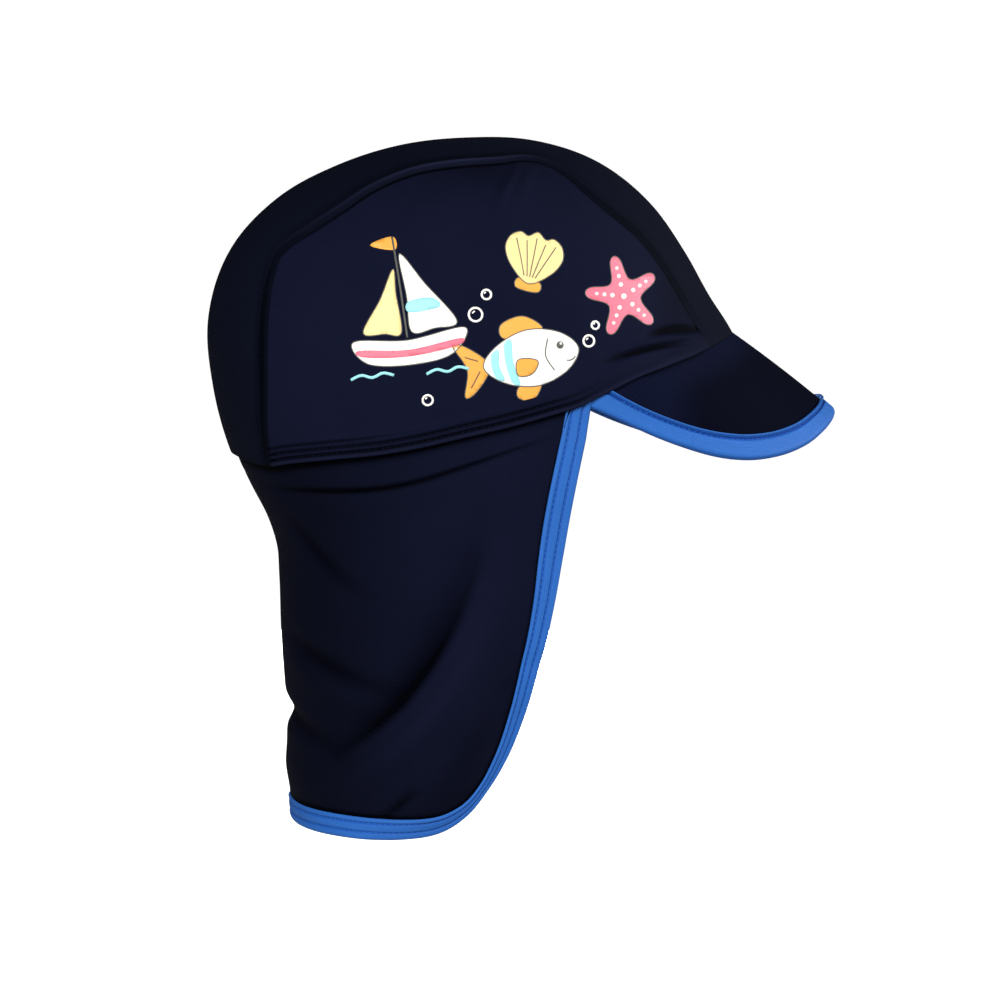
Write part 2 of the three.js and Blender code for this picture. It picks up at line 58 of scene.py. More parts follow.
# Cloth: its thickness, and how far inside the crown's surface the flap's top lies
CROWN_WALL = 1.0
FLAP_WALL = 0.8
PEAK_WALL = 2.2
TUCK_INSET = 1.9

# A pair such as FOREHEAD_X says where a change starts and over how much it comes about.

# Crown: a rounded dome about the middle of the head opening. Angle 0 is the front and 90 is up.
DOME_X = -8.0
DOME_Z = -90.0
DOME_HALF_WIDTH = 76.0
ROUNDNESS = 2.3
CROWN_PROFILE = {
    "angle": (-40, -10, 5, 12, 20, 32, 45, 60, 75, 90, 105, 120, 135, 150, 165, 180, 195, 215, 240),
    "reach": (104.6, 104.1, 103, 99.4, 95.3, 94, 95, 95.2, 93.3, 91.1,
              91.6, 93.8, 97.8, 100.2, 98.3, 93.4, 90.3, 89, 89),
}
CENTRE_PANEL = {
    "angle": (5, 20, 34, 45, 54, 61, 67, 72, 77, 84, 94, 106, 118,
              128, 136, 142, 146, 151, 158, 168, 180, 192, 205),
    "half_width": (46.4, 46.2, 46.9, 48, 48.6, 46.8, 42.6, 39, 38.2, 40.8, 41.8, 42.4, 44.6,
                   47.3, 47.2, 45.4, 44.8, 46.8, 49.2, 50.8, 49.2, 45, 39.4),
}
PANEL_CORNER_BACK = 146.0
PANEL_CORNER_FRONT = 72.0
FOREHEAD_X = (64, 16)
CROWN_EDGE = {
    "x": (-98, -84, -76, -62, -45, -31, -17, 2, 18, 25, 32, 39, 47, 56, 68, 78, 94),
    "z": (-113.6, -117.2, -115.6, -113.6, -111.5, -108.9, -105.6, -101.2,
          -96.8, -94.8, -91.4, -88.2, -84.6, -81.6, -77.6, -74, -68.6),
}

# Peak: its root follows the crown's lower edge. round is the angle round its outer edge, 0 at the tip and
# 90 at its corners, and PEAK_ZONES are shares of the way from the middle to a corner.
PEAK_CORNER_ANGLE = 62.4
PEAK_CORNER_X = 28.8
PEAK_TIP_X = 127.2
PEAK_HALF_WIDTH = 70.6
PEAK_ROUNDNESS = 2.2
PEAK_FRONT_INSET = 0.1
PEAK_ROOT_INSET = 0.6
PEAK_CORNER_INSET = 2.0
PEAK_CORNER_TUCK = 7.0
PEAK_RISE = 0.7
PEAK_ZONES = {"front": (0.35, 0.2), "seam": (0.4, 0.2), "corner": (0.7, 0.25), "tuck": (0.76, 0.24)}
# Painted shade on the peak: along its root near the corners, and over its front
PEAK_SEAM_WIDTH = 1.5
PEAK_SHADE = 0.8
PEAK_SHADE_X = (54, 18)
PEAK_SHADE_LENGTH = (0, 16)
PEAK_EDGE = {
    "round": (0, 12, 24, 35, 46, 56, 64, 72, 79, 85, 90),
    "z": (-98.4, -99.8, -103.8, -108.5, -111.8, -112.8, -111.4, -107.8, -103.2, -98, -93.3),
}
PEAK_TAPE = {"round": (0, 15, 34, 46, 60, 75, 90), "width": (5.4, 5.7, 6.6, 7.4, 8.7, 9.4, 9.4)}

# Neck flap: cut across, and its free edge from the front corner round to the middle of the back.
# turn is the angle from the middle of the back.
FLAP_SECTIONS = {
    "z": (-262, -249, -230, -205, -180, -160, -149, -138, -127, -116, -100, -85),
    "back": (64, 64.8, 66, 67, 68.6, 69.2, 70, 73.6, 79.2, 84.2, 90, 92),
    "front": (96, 97, 98, 100, 102, 103, 103.5, 104, 104.5, 105, 105, 105),
    "half_width": (64, 65, 66.5, 68, 69.5, 70.8, 71.5, 72.2, 73, 73.8, 74.3, 74.3),
}
FLAP_EDGE = {
    "share": (0, 0.08, 0.18, 0.29, 0.4, 0.5, 0.58, 0.65, 0.71, 0.76, 0.81, 0.86, 0.92, 1),
    "turn": (118.4, 116, 113.7, 111.6, 109.3, 106.3, 103, 98.2, 92, 84.8, 75, 62, 38, 0),
    "z": (-95.6, -110, -128, -147, -167, -187.2, -205.4,
          -220.8, -232.4, -241.6, -248, -250.2, -250.2, -249.4),
}
FLAP_EDGE_INSET = 1.0
FLAP_TUCK = 5.0
FLAP_JOIN_DEPTH = 18.0
FLAP_TAPE = {
    "share": (0, 0.3, 0.42, 0.5, 0.6, 0.67, 0.71, 0.74, 0.78, 0.82, 0.87, 1),
    "width": (6.6, 7, 5.9, 5.4, 5, 4.2, 3.4, 3.4, 4.4, 5.8, 6.8, 7.2),
}
FLAP_MM_PER_DEGREE = 1.2
FLAP_MOST_TURN = 125

# The band that gathers the flap under the crown's edge: how deep it reaches and how far it stands out
BAND = {
    "turn": (0, 25, 38, 50, 65, 85, 98, 106, 120),
    "depth": (5.5, 7, 9.4, 11, 11.5, 10, 8.5, 8, 8),
    "step": (0.1, 0.3, 1, 1.5, 1.5, 1.2, 0.6, 0.2, 0),
}
BAND_SOFTNESS = 1.6
BAND_GROOVE = 0.6
BAND_SHADE = {"dark": 0.6, "at": 0.5, "width": 1.0}

# Soft shades of the flap: from the nape to the front, under the hem and beside the tape
NAPE_SHADE = 0.72
FRONT_SHADE = 0.08
NAPE_TURN = (35, 60)
HEM_SHADOW = 2.0
TAPE_SHADOW = {"dark": 0.8, "at": 0.4, "width": 1.1}

# Folds of the flap, each along a bent line: turn and z at its start, its bend and its end, in degrees
# from the middle of the back and in mm, then its depth inwards, its width and how much shade is
# painted along it, a highlight where that is below 0. A fold whose bend is at turn 0 is whole, and the
# others are mirrored.
FOLDS = {
    "side swag": (92, -134, 76, -200, 40, -219, 4.2, 8, 0.2),
    "swag core": (89, -148, 74.5, -201, 40, -221, 1.6, 1.5, 0.85),
    "swag shade": (87.4, -147, 72.8, -199.6, 38.6, -219.4, 0.9, 3.4, 0.45),
    "swag lip": (91.6, -150, 77.4, -204, 42, -225, -0.5, 2.2, -0.25),
    "swag ridge": (96, -150, 83, -210, 44, -232, -2.6, 6.5, -0.25),
    "front hollow": (102, -172, 96, -208, 78, -228, 1.6, 8, 0.2),
    "upper back": (26, -133, 33, -148, 56, -164, 1.6, 4, 0.35),
    "middle back": (17, -180, 38, -187, 64, -200, 2.1, 4, 0.4),
    "middle swell": (20, -191, 42, -197, 60, -206, -1.1, 5, 0),
    "back notch": (46, -223, 0, -195, -46, -223, 3, 4.2, 0.45),
    "back swell": (40, -237, 0, -223, -40, -237, -1, 7, 0),
    "corner curl": (105, -190, 99, -250, 60, -253, 8, 8, 0.75),
    "hem pucker": (70, -231, 65, -236, 56, -244, 0.9, 1.8, 0.7),
    # A fold of no depth: only painted shade
    "low front": (92, -196, 88, -232, 62, -244, 0, 9, 0.42),
}

# Folds of a side panel in the same way, with x and z of their lines, their depth and their width
PANEL_FOLDS = {
    "pinch": (34, -79.4, 49, -73.4, 68, -72.8, 1.9, 1.1),
    "pinch ridge": (40, -75, 56, -69.8, 74, -71.4, -0.9, 1.5),
    "lower ridge": (52, -77, 61, -75, 74, -72.6, -0.6, 1.5),
    "upper pinch": (50, -70.4, 61, -66.2, 73, -68.6, 1.8, 1.5),
    "front crease": (20, -92, 44, -83, 66, -76, 0.5, 1.6),
    "kink drape": (3.4, -10.4, -0.6, -16, -6, -25, 0.4, 1.6),
    "kink streak": (6.6, -9.2, 2.6, -15.5, -2.6, -25, -0.9, 1.6),
    "kink swell": (12, -8.4, 8, -15, 4, -25, -0.5, 2),
    "upper drape": (-22, -13, -30, -24, -46, -33, 0.4, 5),
}

# Seams and hems, by the distance from a long seam or from the crown's lower edge. SEAM_STRENGTH is how
# clearly the ridges stand out along the seam, by the crown's angle.
SEAM_OVERLAP = 0.12
SEAM_RIDGES = {"at": (1.9, 4.2), "width": (1.2, 0.8), "height": (0.12, 0.5)}
SEAM_STRENGTH = {
    "angle": (0, 55, 64, 72, 78, 125, 140, 150, 210),
    "share": (0.04, 0.05, 0.15, 0.5, 1, 1, 0.5, 0.08, 0.04),
}
# Painted shade beside a long seam: in strips along its ridges, beside its plain stretches and along its
# line
SEAM_VALLEY_SHADE = {"at": (0, 2.4, 7.2), "width": (0.9, 1.2, 2.2), "dark": (1.2, 0.1, 0.45)}
PLAIN_SEAM_SHADE = {"dark": 0.85, "at": 2.4, "width": 3.0}
PLAIN_SEAM_ANGLE = (14, 14)
SEAM_LINE = 0.8
HEM_WIDTH = 7.6
HEM_RISE = 0.55
HEM_STEP = 1.0
HEM_FRONT_X = (40, 30)
HEM_FRONT_LOSS = 0.7
# A painted highlight along the hem's rounded edge: how strong it is, where it lies and how wide
HEM_EDGE_HIGHLIGHT = {"share": 0.4, "at": 0.9, "width": 0.7}
HEM_ROWS = {"at": (2.2, 4.4, 6.6), "depth": (0.75, 0.65, 0.5), "front_x": (44, 38, -30)}
HEM_ROW_FADE = 30.0
HEM_GROOVE_WIDTH = 0.6

# Added to the distance from a border where the cloth runs on smoothly, so that it isn't rounded there
UNROUNDED = 2.0

# How much highlight is painted on the centre panel's ridges, and how much shade is painted in a side
# panel's grooves, folds and soft shades
RIDGE_HIGHLIGHT = 1.2
GROOVE_DARKNESS = 2.0
FOLD_DARKNESS = 1.1
SHALLOW_FOLD = 0.3
PANEL_FRONT_SHADE = {"dark": 0.5, "z": -58, "height": 16}
PANEL_FRONT_X = (50, 14)
PANEL_TOP_SHADE = {"dark": 0.6, "depth": 14, "x": -4, "length": 26}

# Stitches
SEAM_ROW_AT = 2.8
HEM_ROW_TURNS = (64, 148)
STITCH_PITCH = 2.6
STITCH_LENGTH = 2.0
STITCH_TWIST = 0.05
THREAD = 0.32

# Linear colours
NAVY = (0.0050, 0.0062, 0.0180)
# A darker copy of the navy for the centre panel: painted shade
NAVY_STRIP_SHADED = (0.0030, 0.0038, 0.0098)
NAVY_DEEP = (0.0038, 0.0051, 0.0172)
# Paler navy for the painted highlight on the seam ridges and along the hem's edge
NAVY_PAINTED_HIGHLIGHT = (0.012, 0.014, 0.034)
SHEEN_TINT = (0.5, 0.6, 1.0)
THREAD_NAVY = (0.003, 0.0035, 0.010)
BLUE = (0.022, 0.120, 0.430)
# Deeper blue for painted shade in the tapes' stitched grooves and round their folded edges
BLUE_DEEP = (0.004, 0.045, 0.270)
THREAD_BLUE = (0.020, 0.105, 0.390)
PRINT_WHITE = (0.90, 0.88, 0.81)
PRINT_AQUA = (0.32, 0.72, 0.76)
PRINT_PINK = (0.82, 0.17, 0.24)
PRINT_ORANGE = (0.86, 0.38, 0.06)
PRINT_YELLOW = (0.88, 0.68, 0.30)
PRINT_GREY = (0.09, 0.09, 0.08)


# Curves and small sums

def smooth(t):
    t = np.clip(t, 0, 1)
    return t * t * (3 - 2 * t)


def past(value, zone):
    """0 before a zone, given by its start and its run, and 1 after it."""
    start, run = zone
    return smooth((value - start) / run)


def lerp(a, b, t):
    return a + (b - a) * t


def curve_through(table, given, wanted):
    """A smooth function through two columns of a table."""
    x = np.array(table[given], float)
    y = np.array(table[wanted], float)
    run = np.diff(x)
    rise = np.diff(y) / run
    slope = np.concatenate([rise[:1], rise[-1:]])
    if len(rise) > 1:
        inner = (run[:-1] * rise[1:] + run[1:] * rise[:-1]) / (run[:-1] + run[1:])
        slope = np.concatenate([rise[:1], inner, rise[-1:]])

    def value(at):
        at = np.asarray(at, float)
        i = np.clip(np.searchsorted(x, at, side="right") - 1, 0, len(run) - 1)
        t = np.clip((at - x[i]) / run[i], 0, 1)
        bend = t * (1 - t) * run[i] * (slope[i] * (1 - t) - slope[i + 1] * t)
        return lerp(y[i], y[i + 1], smooth(t)) + bend

    return value


def last_true(low, high, test):
    """The values between low and high where a test turns from true to false."""
    low = np.array(low, float)
    high = np.array(high, float)
    for _ in range(34):
        middle = (low + high) / 2
        passed = test(middle)
        low = np.where(passed, middle, low)
        high = np.where(passed, high, middle)
    return low


def bump(distance, at, width):
    return np.exp(-(((distance - at) / width) ** 2))


def unit(v):
    return v / np.maximum(np.linalg.norm(v, axis=-1, keepdims=True), 1e-12)


def surface_normals(grid, outside_of):
    """Normals of a grid of points, pointing away from a point or line inside the form."""
    down = np.gradient(grid, axis=0)
    across = np.gradient(grid, axis=1)
    normals = unit(np.cross(down, across))
    facing = np.sum(normals * (grid - outside_of), axis=-1)
    return normals * np.sign(np.median(facing))


def steps_closer_at_ends(count, near, share):
    """Places from 0 to 1, closer together within a share of each end."""
    ends = np.linspace(0, 1, near + 1)[1:]
    middle = np.linspace(share, 1 - share, count)[1:-1]
    low = share * ends ** 1.25
    return np.concatenate([[0], low, middle, (1 - low)[::-1], [1]])


def nearest_on(points, line):
    """Distance of each point from a bent line, and how far along the line that is, from 0 to 1."""
    flat = points.reshape(-1, points.shape[-1])
    best = np.full(len(flat), np.inf)
    along = np.zeros(len(flat))
    for i, (a, b) in enumerate(zip(line[:-1], line[1:])):
        ab = b - a
        t = np.clip((flat - a) @ ab / max(float(ab @ ab), 1e-12), 0, 1)
        gap = flat - a - t[:, None] * ab
        gap = np.einsum("ij,ij->i", gap, gap)
        closer = gap < best
        best = np.where(closer, gap, best)
        along = np.where(closer, (i + t) / (len(line) - 1), along)
    return np.sqrt(best).reshape(points.shape[:-1]), along.reshape(points.shape[:-1])


def bent_line(a, b, c, count=24):
    """Points along a quadratic curve from a towards b to c."""
    t = np.linspace(0, 1, count)[:, None]
    return (1 - t) ** 2 * np.array(a) + 2 * t * (1 - t) * np.array(b) + t ** 2 * np.array(c)


def fold_share(place, line, width):
    """How fully a fold reaches each place on an unrolled surface: it fades aside and to both ends."""
    distance, along = nearest_on(place, line)
    return np.sin(np.pi * lerp(0.08, 0.92, along)) * bump(distance, 0, width)


# Crown surface

crown_reach = curve_through(CROWN_PROFILE, "angle", "reach")
centre_half_width = curve_through(CENTRE_PANEL, "angle", "half_width")
crown_edge_height = curve_through(CROWN_EDGE, "x", "z")


def side_share(x, z):
    """How far out a point is, as a share of the way to the crown's outline seen from the side."""
    angle = np.degrees(np.arctan2(z - DOME_Z, x - DOME_X))
    reach = crown_reach(np.where(angle < -60, angle + 360, angle))
    return np.hypot(x - DOME_X, z - DOME_Z) / reach


def crown_level(x, y, z):
    """Below 1 inside the crown's surface and above 1 outside it."""
    return side_share(x, z) ** ROUNDNESS + (np.abs(y) / DOME_HALF_WIDTH) ** ROUNDNESS


def crown_half_width_at(x, z):
    """How far sideways the crown's surface lies at a place seen from the side."""
    left = np.maximum(0, 1 - side_share(x, z) ** ROUNDNESS)
    return DOME_HALF_WIDTH * left ** (1 / ROUNDNESS)


def crown_point(angle, y):
    """The crown's surface at an angle seen from the side and at a sideways place y."""
    share = (1 - (np.abs(y) / DOME_HALF_WIDTH) ** ROUNDNESS) ** (1 / ROUNDNESS)
    reach = crown_reach(angle) * share
    x = DOME_X + reach * np.cos(np.radians(angle))
    z = DOME_Z + reach * np.sin(np.radians(angle))
    return np.stack([x, y + 0 * x, z], -1)


def crown_normal(p):
    step = 0.02
    x, y, z = p[..., 0], p[..., 1], p[..., 2]
    return unit(np.stack([
        crown_level(x + step, y, z) - crown_level(x - step, y, z),
        crown_level(x, y + step, z) - crown_level(x, y - step, z),
        crown_level(x, y, z + step) - crown_level(x, y, z - step)], -1))


# Between these the crown surely ends: reaches from its middle line, and angles in front and at the back
INSIDE_REACH = 20.0
OUTSIDE_REACH = 130.0
FRONT_ANGLES = (-40.0, 60.0)
BACK_ANGLES = (150.0, 230.0)


def crown_edge_angle(y, at_back):
    """The angle at which the crown meets its lower edge, at a sideways place y."""
    def above_edge(angle):
        p = crown_point(angle, y)
        return p[..., 2] > crown_edge_height(p[..., 0])

    y = np.asarray(y, float)
    low, high = BACK_ANGLES if at_back else FRONT_ANGLES
    test = above_edge if at_back else lambda angle: ~above_edge(angle)
    return last_true(low + 0 * y, high + 0 * y, test)


def crown_edge_point(angle, side):
    """The crown's lower edge in the plan direction given by an angle from the front."""
    angle = np.asarray(angle, float)

    def place(r):
        x = DOME_X + r * np.cos(np.radians(angle))
        y = side * r * np.sin(np.radians(angle))
        return np.stack([x, y, crown_edge_height(x)], -1)

    def inside(r):
        p = place(r)
        return crown_level(p[..., 0], p[..., 1], p[..., 2]) < 1

    return place(last_true(INSIDE_REACH + 0 * angle, OUTSIDE_REACH + 0 * angle, inside))


def seam_end(angle, at_back):
    """The angle at which the long seams meet the crown's lower edge, near a first guess."""
    for _ in range(12):
        angle = float(crown_edge_angle(centre_half_width(angle), at_back))
    return angle


SEAM_FRONT = seam_end(11, False)
SEAM_BACK = seam_end(199, True)


def seam_line(side, count=300):
    """The seam between the centre panel and a side panel, from the forehead to the nape."""
    angle = np.linspace(SEAM_FRONT, SEAM_BACK, count)
    return crown_point(angle, side * centre_half_width(angle))


def crown_edge_line(side, count=240):
    """The crown's whole lower edge on one side, from the forehead to the nape."""
    return crown_edge_point(np.linspace(0, 180, count), side)


# Meshes

def make_mesh(name, vertices, faces, materials, uv=None, face_material=None):
    """A mesh object at the origin, from millimetres."""
    mesh = bpy.data.meshes.new(name)
    mesh.from_pydata(vertices * MM, [], faces)
    for material in materials:
        mesh.materials.append(material)
    if face_material is not None:
        mesh.polygons.foreach_set("material_index", np.asarray(face_material, np.int32))
    if uv is not None:
        corner = np.empty(len(mesh.loops), np.int32)
        mesh.loops.foreach_get("vertex_index", corner)
        layer = mesh.uv_layers.new(name="cloth")
        layer.data.foreach_set("uv", uv[corner].ravel())
    mesh.validate()
    mesh.shade_smooth()
    piece = bpy.data.objects.new(name, mesh)
    bpy.context.scene.collection.objects.link(piece)
    return piece


def grid_faces(rows, columns, first, flip):
    r, c = np.meshgrid(np.arange(rows - 1), np.arange(columns - 1), indexing="ij")
    a = first + r * columns + c
    quad = np.stack([a, a + 1, a + columns + 1, a + columns], -1).reshape(-1, 4)
    return quad[:, ::-1] if flip else quad


def shell(name, outer, inner, uv, material, marks=None):
    """A closed piece between an outer and an inner grid of points, with its cloth coordinates in mm.

    marks are named values over the grid that the materials read, such as where highlight or shade is
    painted on the cloth."""
    rows, columns = outer.shape[:2]
    count = rows * columns
    down = outer[1:, :-1] - outer[:-1, :-1]
    across = outer[:-1, 1:] - outer[:-1, :-1]
    thick = (outer - inner)[:-1, :-1]
    flip = np.sum(np.cross(down, across) * thick) > 0
    ring = np.concatenate([
        np.arange(columns), np.arange(1, rows) * columns + columns - 1,
        (rows - 1) * columns + np.arange(columns - 2, -1, -1), np.arange(rows - 2, 0, -1) * columns])
    following = np.roll(ring, -1)
    rim = np.stack([ring, following, following + count, ring + count], -1)
    faces = np.concatenate([
        grid_faces(rows, columns, 0, flip), grid_faces(rows, columns, count, not flip),
        rim if flip else rim[:, ::-1]])
    vertices = np.concatenate([outer.reshape(-1, 3), inner.reshape(-1, 3)])
    flat_uv = np.concatenate([uv.reshape(-1, 2), uv.reshape(-1, 2)])
    piece = make_mesh(name, vertices, faces.tolist(), [material], flat_uv)
    for mark, values in (marks or {}).items():
        layer = piece.data.attributes.new(mark, "FLOAT", "POINT")
        layer.data.foreach_set("value", np.tile(values.ravel(), 2).astype(np.float32))
    return piece


# A border is rounded over this share of the wall's thickness, and keeps at least this share of it
ROUNDED_SHARE = 0.6
LEAST_BORDER = 0.12


def border_round(distance, wall):
    """The share of a wall's thickness left near a border, so that the border is round."""
    t = np.clip(distance / (ROUNDED_SHARE * wall), 0, 1)
    return np.maximum(LEAST_BORDER, np.sqrt(1 - (1 - t) ** 2))


def lengths_along(grid, axis):
    """Running length of the grid's lines along one axis."""
    step = np.linalg.norm(np.diff(grid, axis=axis), axis=-1)
    start = np.zeros_like(np.take(step, [0], axis=axis))
    return np.concatenate([start, np.cumsum(step, axis=axis)], axis=axis)


def cloth_walls(surface, normals, wall, border, raised):
    """Outer and inner grids of a cloth with round borders, its outside raised by a given amount."""
    keep = border_round(border, wall)[..., None]
    outer = surface + normals * raised[..., None] - normals * wall / 2 * (1 - keep)
    inner = surface - normals * wall / 2 * (1 + keep)
    return outer, inner


# Crown panels

seam_strength = curve_through(SEAM_STRENGTH, "angle", "share")


def hem_relief(distance, x):
    """The turned-up hem: raised, with a groove under each row of stitches that fades to the front.

    Returns its height over the cloth and how deep in a groove each place lies."""
    past_hem = smooth((distance - HEM_WIDTH) / HEM_STEP + 0.5)
    band = HEM_RISE * (1 - past_hem) * (1 - HEM_FRONT_LOSS * past(x, HEM_FRONT_X))
    grooves = np.zeros(distance.shape)
    for row, depth, front_x in zip(HEM_ROWS["at"], HEM_ROWS["depth"], HEM_ROWS["front_x"]):
        in_front = past(x, (front_x - HEM_ROW_FADE, HEM_ROW_FADE))
        grooves += depth * (1 - in_front) * bump(distance, row, HEM_GROOVE_WIDTH)
    return band - grooves, grooves


def beside_seam(distance, table):
    """The sum of a table's strips beside a seam: where each lies, its width and its amount."""
    return sum(amount * bump(distance, at, width) for at, width, amount in zip(*table.values()))


def at_forehead(x):
    """1 at the forehead, where the crown runs smoothly into the peak, and 0 at the sides."""
    return past(x, FOREHEAD_X)


def panel_fold_relief(points):
    """The pinches and soft drapes of a side panel, above its plain surface."""
    place = points[..., [0, 2]]
    relief = np.zeros(points.shape[:-1])
    for x_a, z_a, x_b, z_b, x_c, z_c, depth, width in PANEL_FOLDS.values():
        relief -= depth * fold_share(place, bent_line((x_a, z_a), (x_b, z_b), (x_c, z_c)), width)
    return relief


def centre_panel(material):
    """The strip over the head from the forehead to the nape, with the ridges of the long seams."""
    along = steps_closer_at_ends(215, 14, 0.03)[:, None]
    across = 2 * steps_closer_at_ends(44, 19, 0.1)[None, :] - 1
    seam_angle = lerp(SEAM_FRONT, SEAM_BACK, along)
    front_end = crown_edge_angle(across * centre_half_width(SEAM_FRONT), False)
    back_end = crown_edge_angle(across * centre_half_width(SEAM_BACK), True)
    y = across * (centre_half_width(seam_angle) + SEAM_OVERLAP)
    surface = crown_point(lerp(front_end, back_end, along), y)
    normals = crown_normal(surface)
    lengths, widths = lengths_along(surface, 0), lengths_along(surface, 1)
    seam = np.minimum(widths, widths[:, -1:] - widths)
    edge = np.minimum(lengths, lengths[-1:] - lengths)
    strength = seam_strength(seam_angle)
    ridges = strength * beside_seam(seam, SEAM_RIDGES)
    border = np.minimum(seam, edge + UNROUNDED * at_forehead(surface[..., 0]))
    outer, inner = cloth_walls(surface, normals, CROWN_WALL, border, ridges)
    uv = np.stack([widths - widths[:, -1:] / 2, lengths], -1)
    # Painted shade in the seams' valleys and beside their plain stretches
    plain = PLAIN_SEAM_SHADE["dark"] * (1 - strength) * past(seam_angle, PLAIN_SEAM_ANGLE)
    shade = plain * bump(seam, PLAIN_SEAM_SHADE["at"], PLAIN_SEAM_SHADE["width"])
    painted_shade = strength * beside_seam(seam, SEAM_VALLEY_SHADE) + shade
    # A painted highlight on the seam ridges
    return shell("centre_panel_cloth", outer, inner, uv, material,
                 {"painted_highlight": RIDGE_HIGHLIGHT * ridges, "painted_shade": painted_shade})


def side_panel(name, side, material):
    """A side of the crown, filled in between its seam and the lower edge, with its hem and folds."""
    u = steps_closer_at_ends(140, 12, 0.05)[None, :]
    v = steps_closer_at_ends(108, 22, 0.09)[:, None]

    def seam(angle):
        p = crown_point(angle, centre_half_width(angle) - SEAM_OVERLAP)
        return p[..., 0], p[..., 2]

    front = seam(lerp(SEAM_FRONT, PANEL_CORNER_FRONT, v))
    top = seam(lerp(PANEL_CORNER_FRONT, PANEL_CORNER_BACK, u))
    back = seam(lerp(SEAM_BACK, PANEL_CORNER_BACK, v))
    bottom_x = lerp(front[0][:1], back[0][:1], u)
    bottom = (bottom_x, crown_edge_height(bottom_x))

    def blend(axis):
        corners = lerp(lerp(front[axis][:1], back[axis][:1], u),
                       lerp(top[axis][:, :1], top[axis][:, -1:], u), v)
        return lerp(bottom[axis], top[axis], v) + lerp(front[axis], back[axis], u) - corners

    x, z = blend(0), blend(1)
    surface = np.stack([x, side * crown_half_width_at(x, z), z], -1)
    normals = crown_normal(surface)
    seam_gap, _ = nearest_on(surface, seam_line(side))
    edge_gap, _ = nearest_on(surface, crown_edge_line(side))
    hem, grooves = hem_relief(edge_gap, x)
    folds = panel_fold_relief(surface)
    below_forehead = 1 - at_forehead(x)
    border = np.minimum(seam_gap, edge_gap) + UNROUNDED * at_forehead(x)
    outer, inner = cloth_walls(surface, normals, CROWN_WALL, border, hem + folds)
    uv = np.stack([lengths_along(surface, 1), lengths_along(surface, 0)], -1)
    # Painted shade in the hem's grooves and the deeper folds, along the seam, at the panel's front end and
    # below the top of its seam
    painted_shades = GROOVE_DARKNESS * grooves + FOLD_DARKNESS * np.clip(-folds - SHALLOW_FOLD, 0, None)
    painted_shades += below_forehead * bump(seam_gap, 0, SEAM_LINE)
    front_shade, top_shade = PANEL_FRONT_SHADE, PANEL_TOP_SHADE
    at_front = past(x, PANEL_FRONT_X) * bump(z, front_shade["z"], front_shade["height"])
    at_top = bump(seam_gap, 0, top_shade["depth"]) * bump(x, top_shade["x"], top_shade["length"])
    painted_shades += front_shade["dark"] * at_front + top_shade["dark"] * at_top
    # A painted highlight along the hem's rounded edge, away from the forehead
    painted_highlight = HEM_EDGE_HIGHLIGHT["share"] * bump(edge_gap, HEM_EDGE_HIGHLIGHT["at"], HEM_EDGE_HIGHLIGHT["width"]) * below_forehead
    return shell(name, outer, inner, uv, material, {"painted_highlight": painted_highlight, "painted_shade": painted_shades})


# Neck flap

flap_back = curve_through(FLAP_SECTIONS, "z", "back")
flap_front = curve_through(FLAP_SECTIONS, "z", "front")
flap_half_width = curve_through(FLAP_SECTIONS, "z", "half_width")
flap_edge_turn = curve_through(FLAP_EDGE, "share", "turn")
flap_edge_z = curve_through(FLAP_EDGE, "share", "z")
band_depth = curve_through(BAND, "turn", "depth")
band_step = curve_through(BAND, "turn", "step")
flap_tape_width = curve_through(FLAP_TAPE, "share", "width")


def flap_folds(turn, z):
    """How deep all folds are at each place, and how much shade is painted there."""
    place = np.stack([turn * FLAP_MM_PER_DEGREE, z], -1)
    deep = np.zeros(turn.shape)
    dark = np.zeros(turn.shape)
    for turn_a, z_a, turn_b, z_b, turn_c, z_c, depth, width, shade in FOLDS.values():
        for mirror in ((1,) if turn_b == 0 else (1, -1)):
            scale = np.array([mirror * FLAP_MM_PER_DEGREE, 1])
            line = bent_line((turn_a, z_a), (turn_b, z_b), (turn_c, z_c)) * scale
            share = fold_share(place, line, width)
            deep += depth * share
            # Painted shade along a fold; a shade below 0 paints a highlight
            dark += shade * share ** 1.5
    return deep, dark


def flap_points(turn, z):
    """Points of the flap's outer surface at turns from the middle of the back and at heights."""
    turn, z = np.broadcast_arrays(turn, z)
    away = np.abs(turn)
    angle = np.radians(180 - away)
    forward, sideways = np.cos(angle), np.sin(angle)
    length = np.where(forward < 0, flap_back(z), flap_front(z))
    hanging = ((np.abs(forward) / length) ** ROUNDNESS
               + (sideways / flap_half_width(z)) ** ROUNDNESS) ** (-1 / ROUNDNESS)
    turns = np.linspace(0, FLAP_MOST_TURN, 251)
    edges = crown_edge_point(180 - turns, 1)
    edge_normals = crown_normal(edges)
    edge_z = np.interp(away, turns, edges[:, 2])
    slant = np.interp(away, turns, np.hypot(edge_normals[:, 0], edge_normals[:, 1]))
    height = np.maximum(z, edge_z - FLAP_JOIN_DEPTH)
    crown = last_true(INSIDE_REACH + 0 * z, OUTSIDE_REACH + 0 * z, lambda r: crown_level(
        DOME_X + r * forward, r * sideways, height) < 1)
    under_crown = crown - TUCK_INSET / slant
    below = edge_z - z
    past_band = (below - band_depth(away)) / BAND_SOFTNESS
    step = band_step(away) * (smooth(past_band + 0.5) + BAND_GROOVE * bump(past_band, 0.3, 0.6))
    settle = 1 - smooth((below - FLAP_JOIN_DEPTH) / FLAP_JOIN_DEPTH)
    folds = flap_folds(turn, z)[0] * smooth(below / (2 * FLAP_JOIN_DEPTH))
    reach = lerp(under_crown, hanging, smooth(below / FLAP_JOIN_DEPTH)) - step * settle - folds
    return np.stack([DOME_X + reach * forward, -np.sign(turn + 1e-9) * reach * sideways, z], -1)


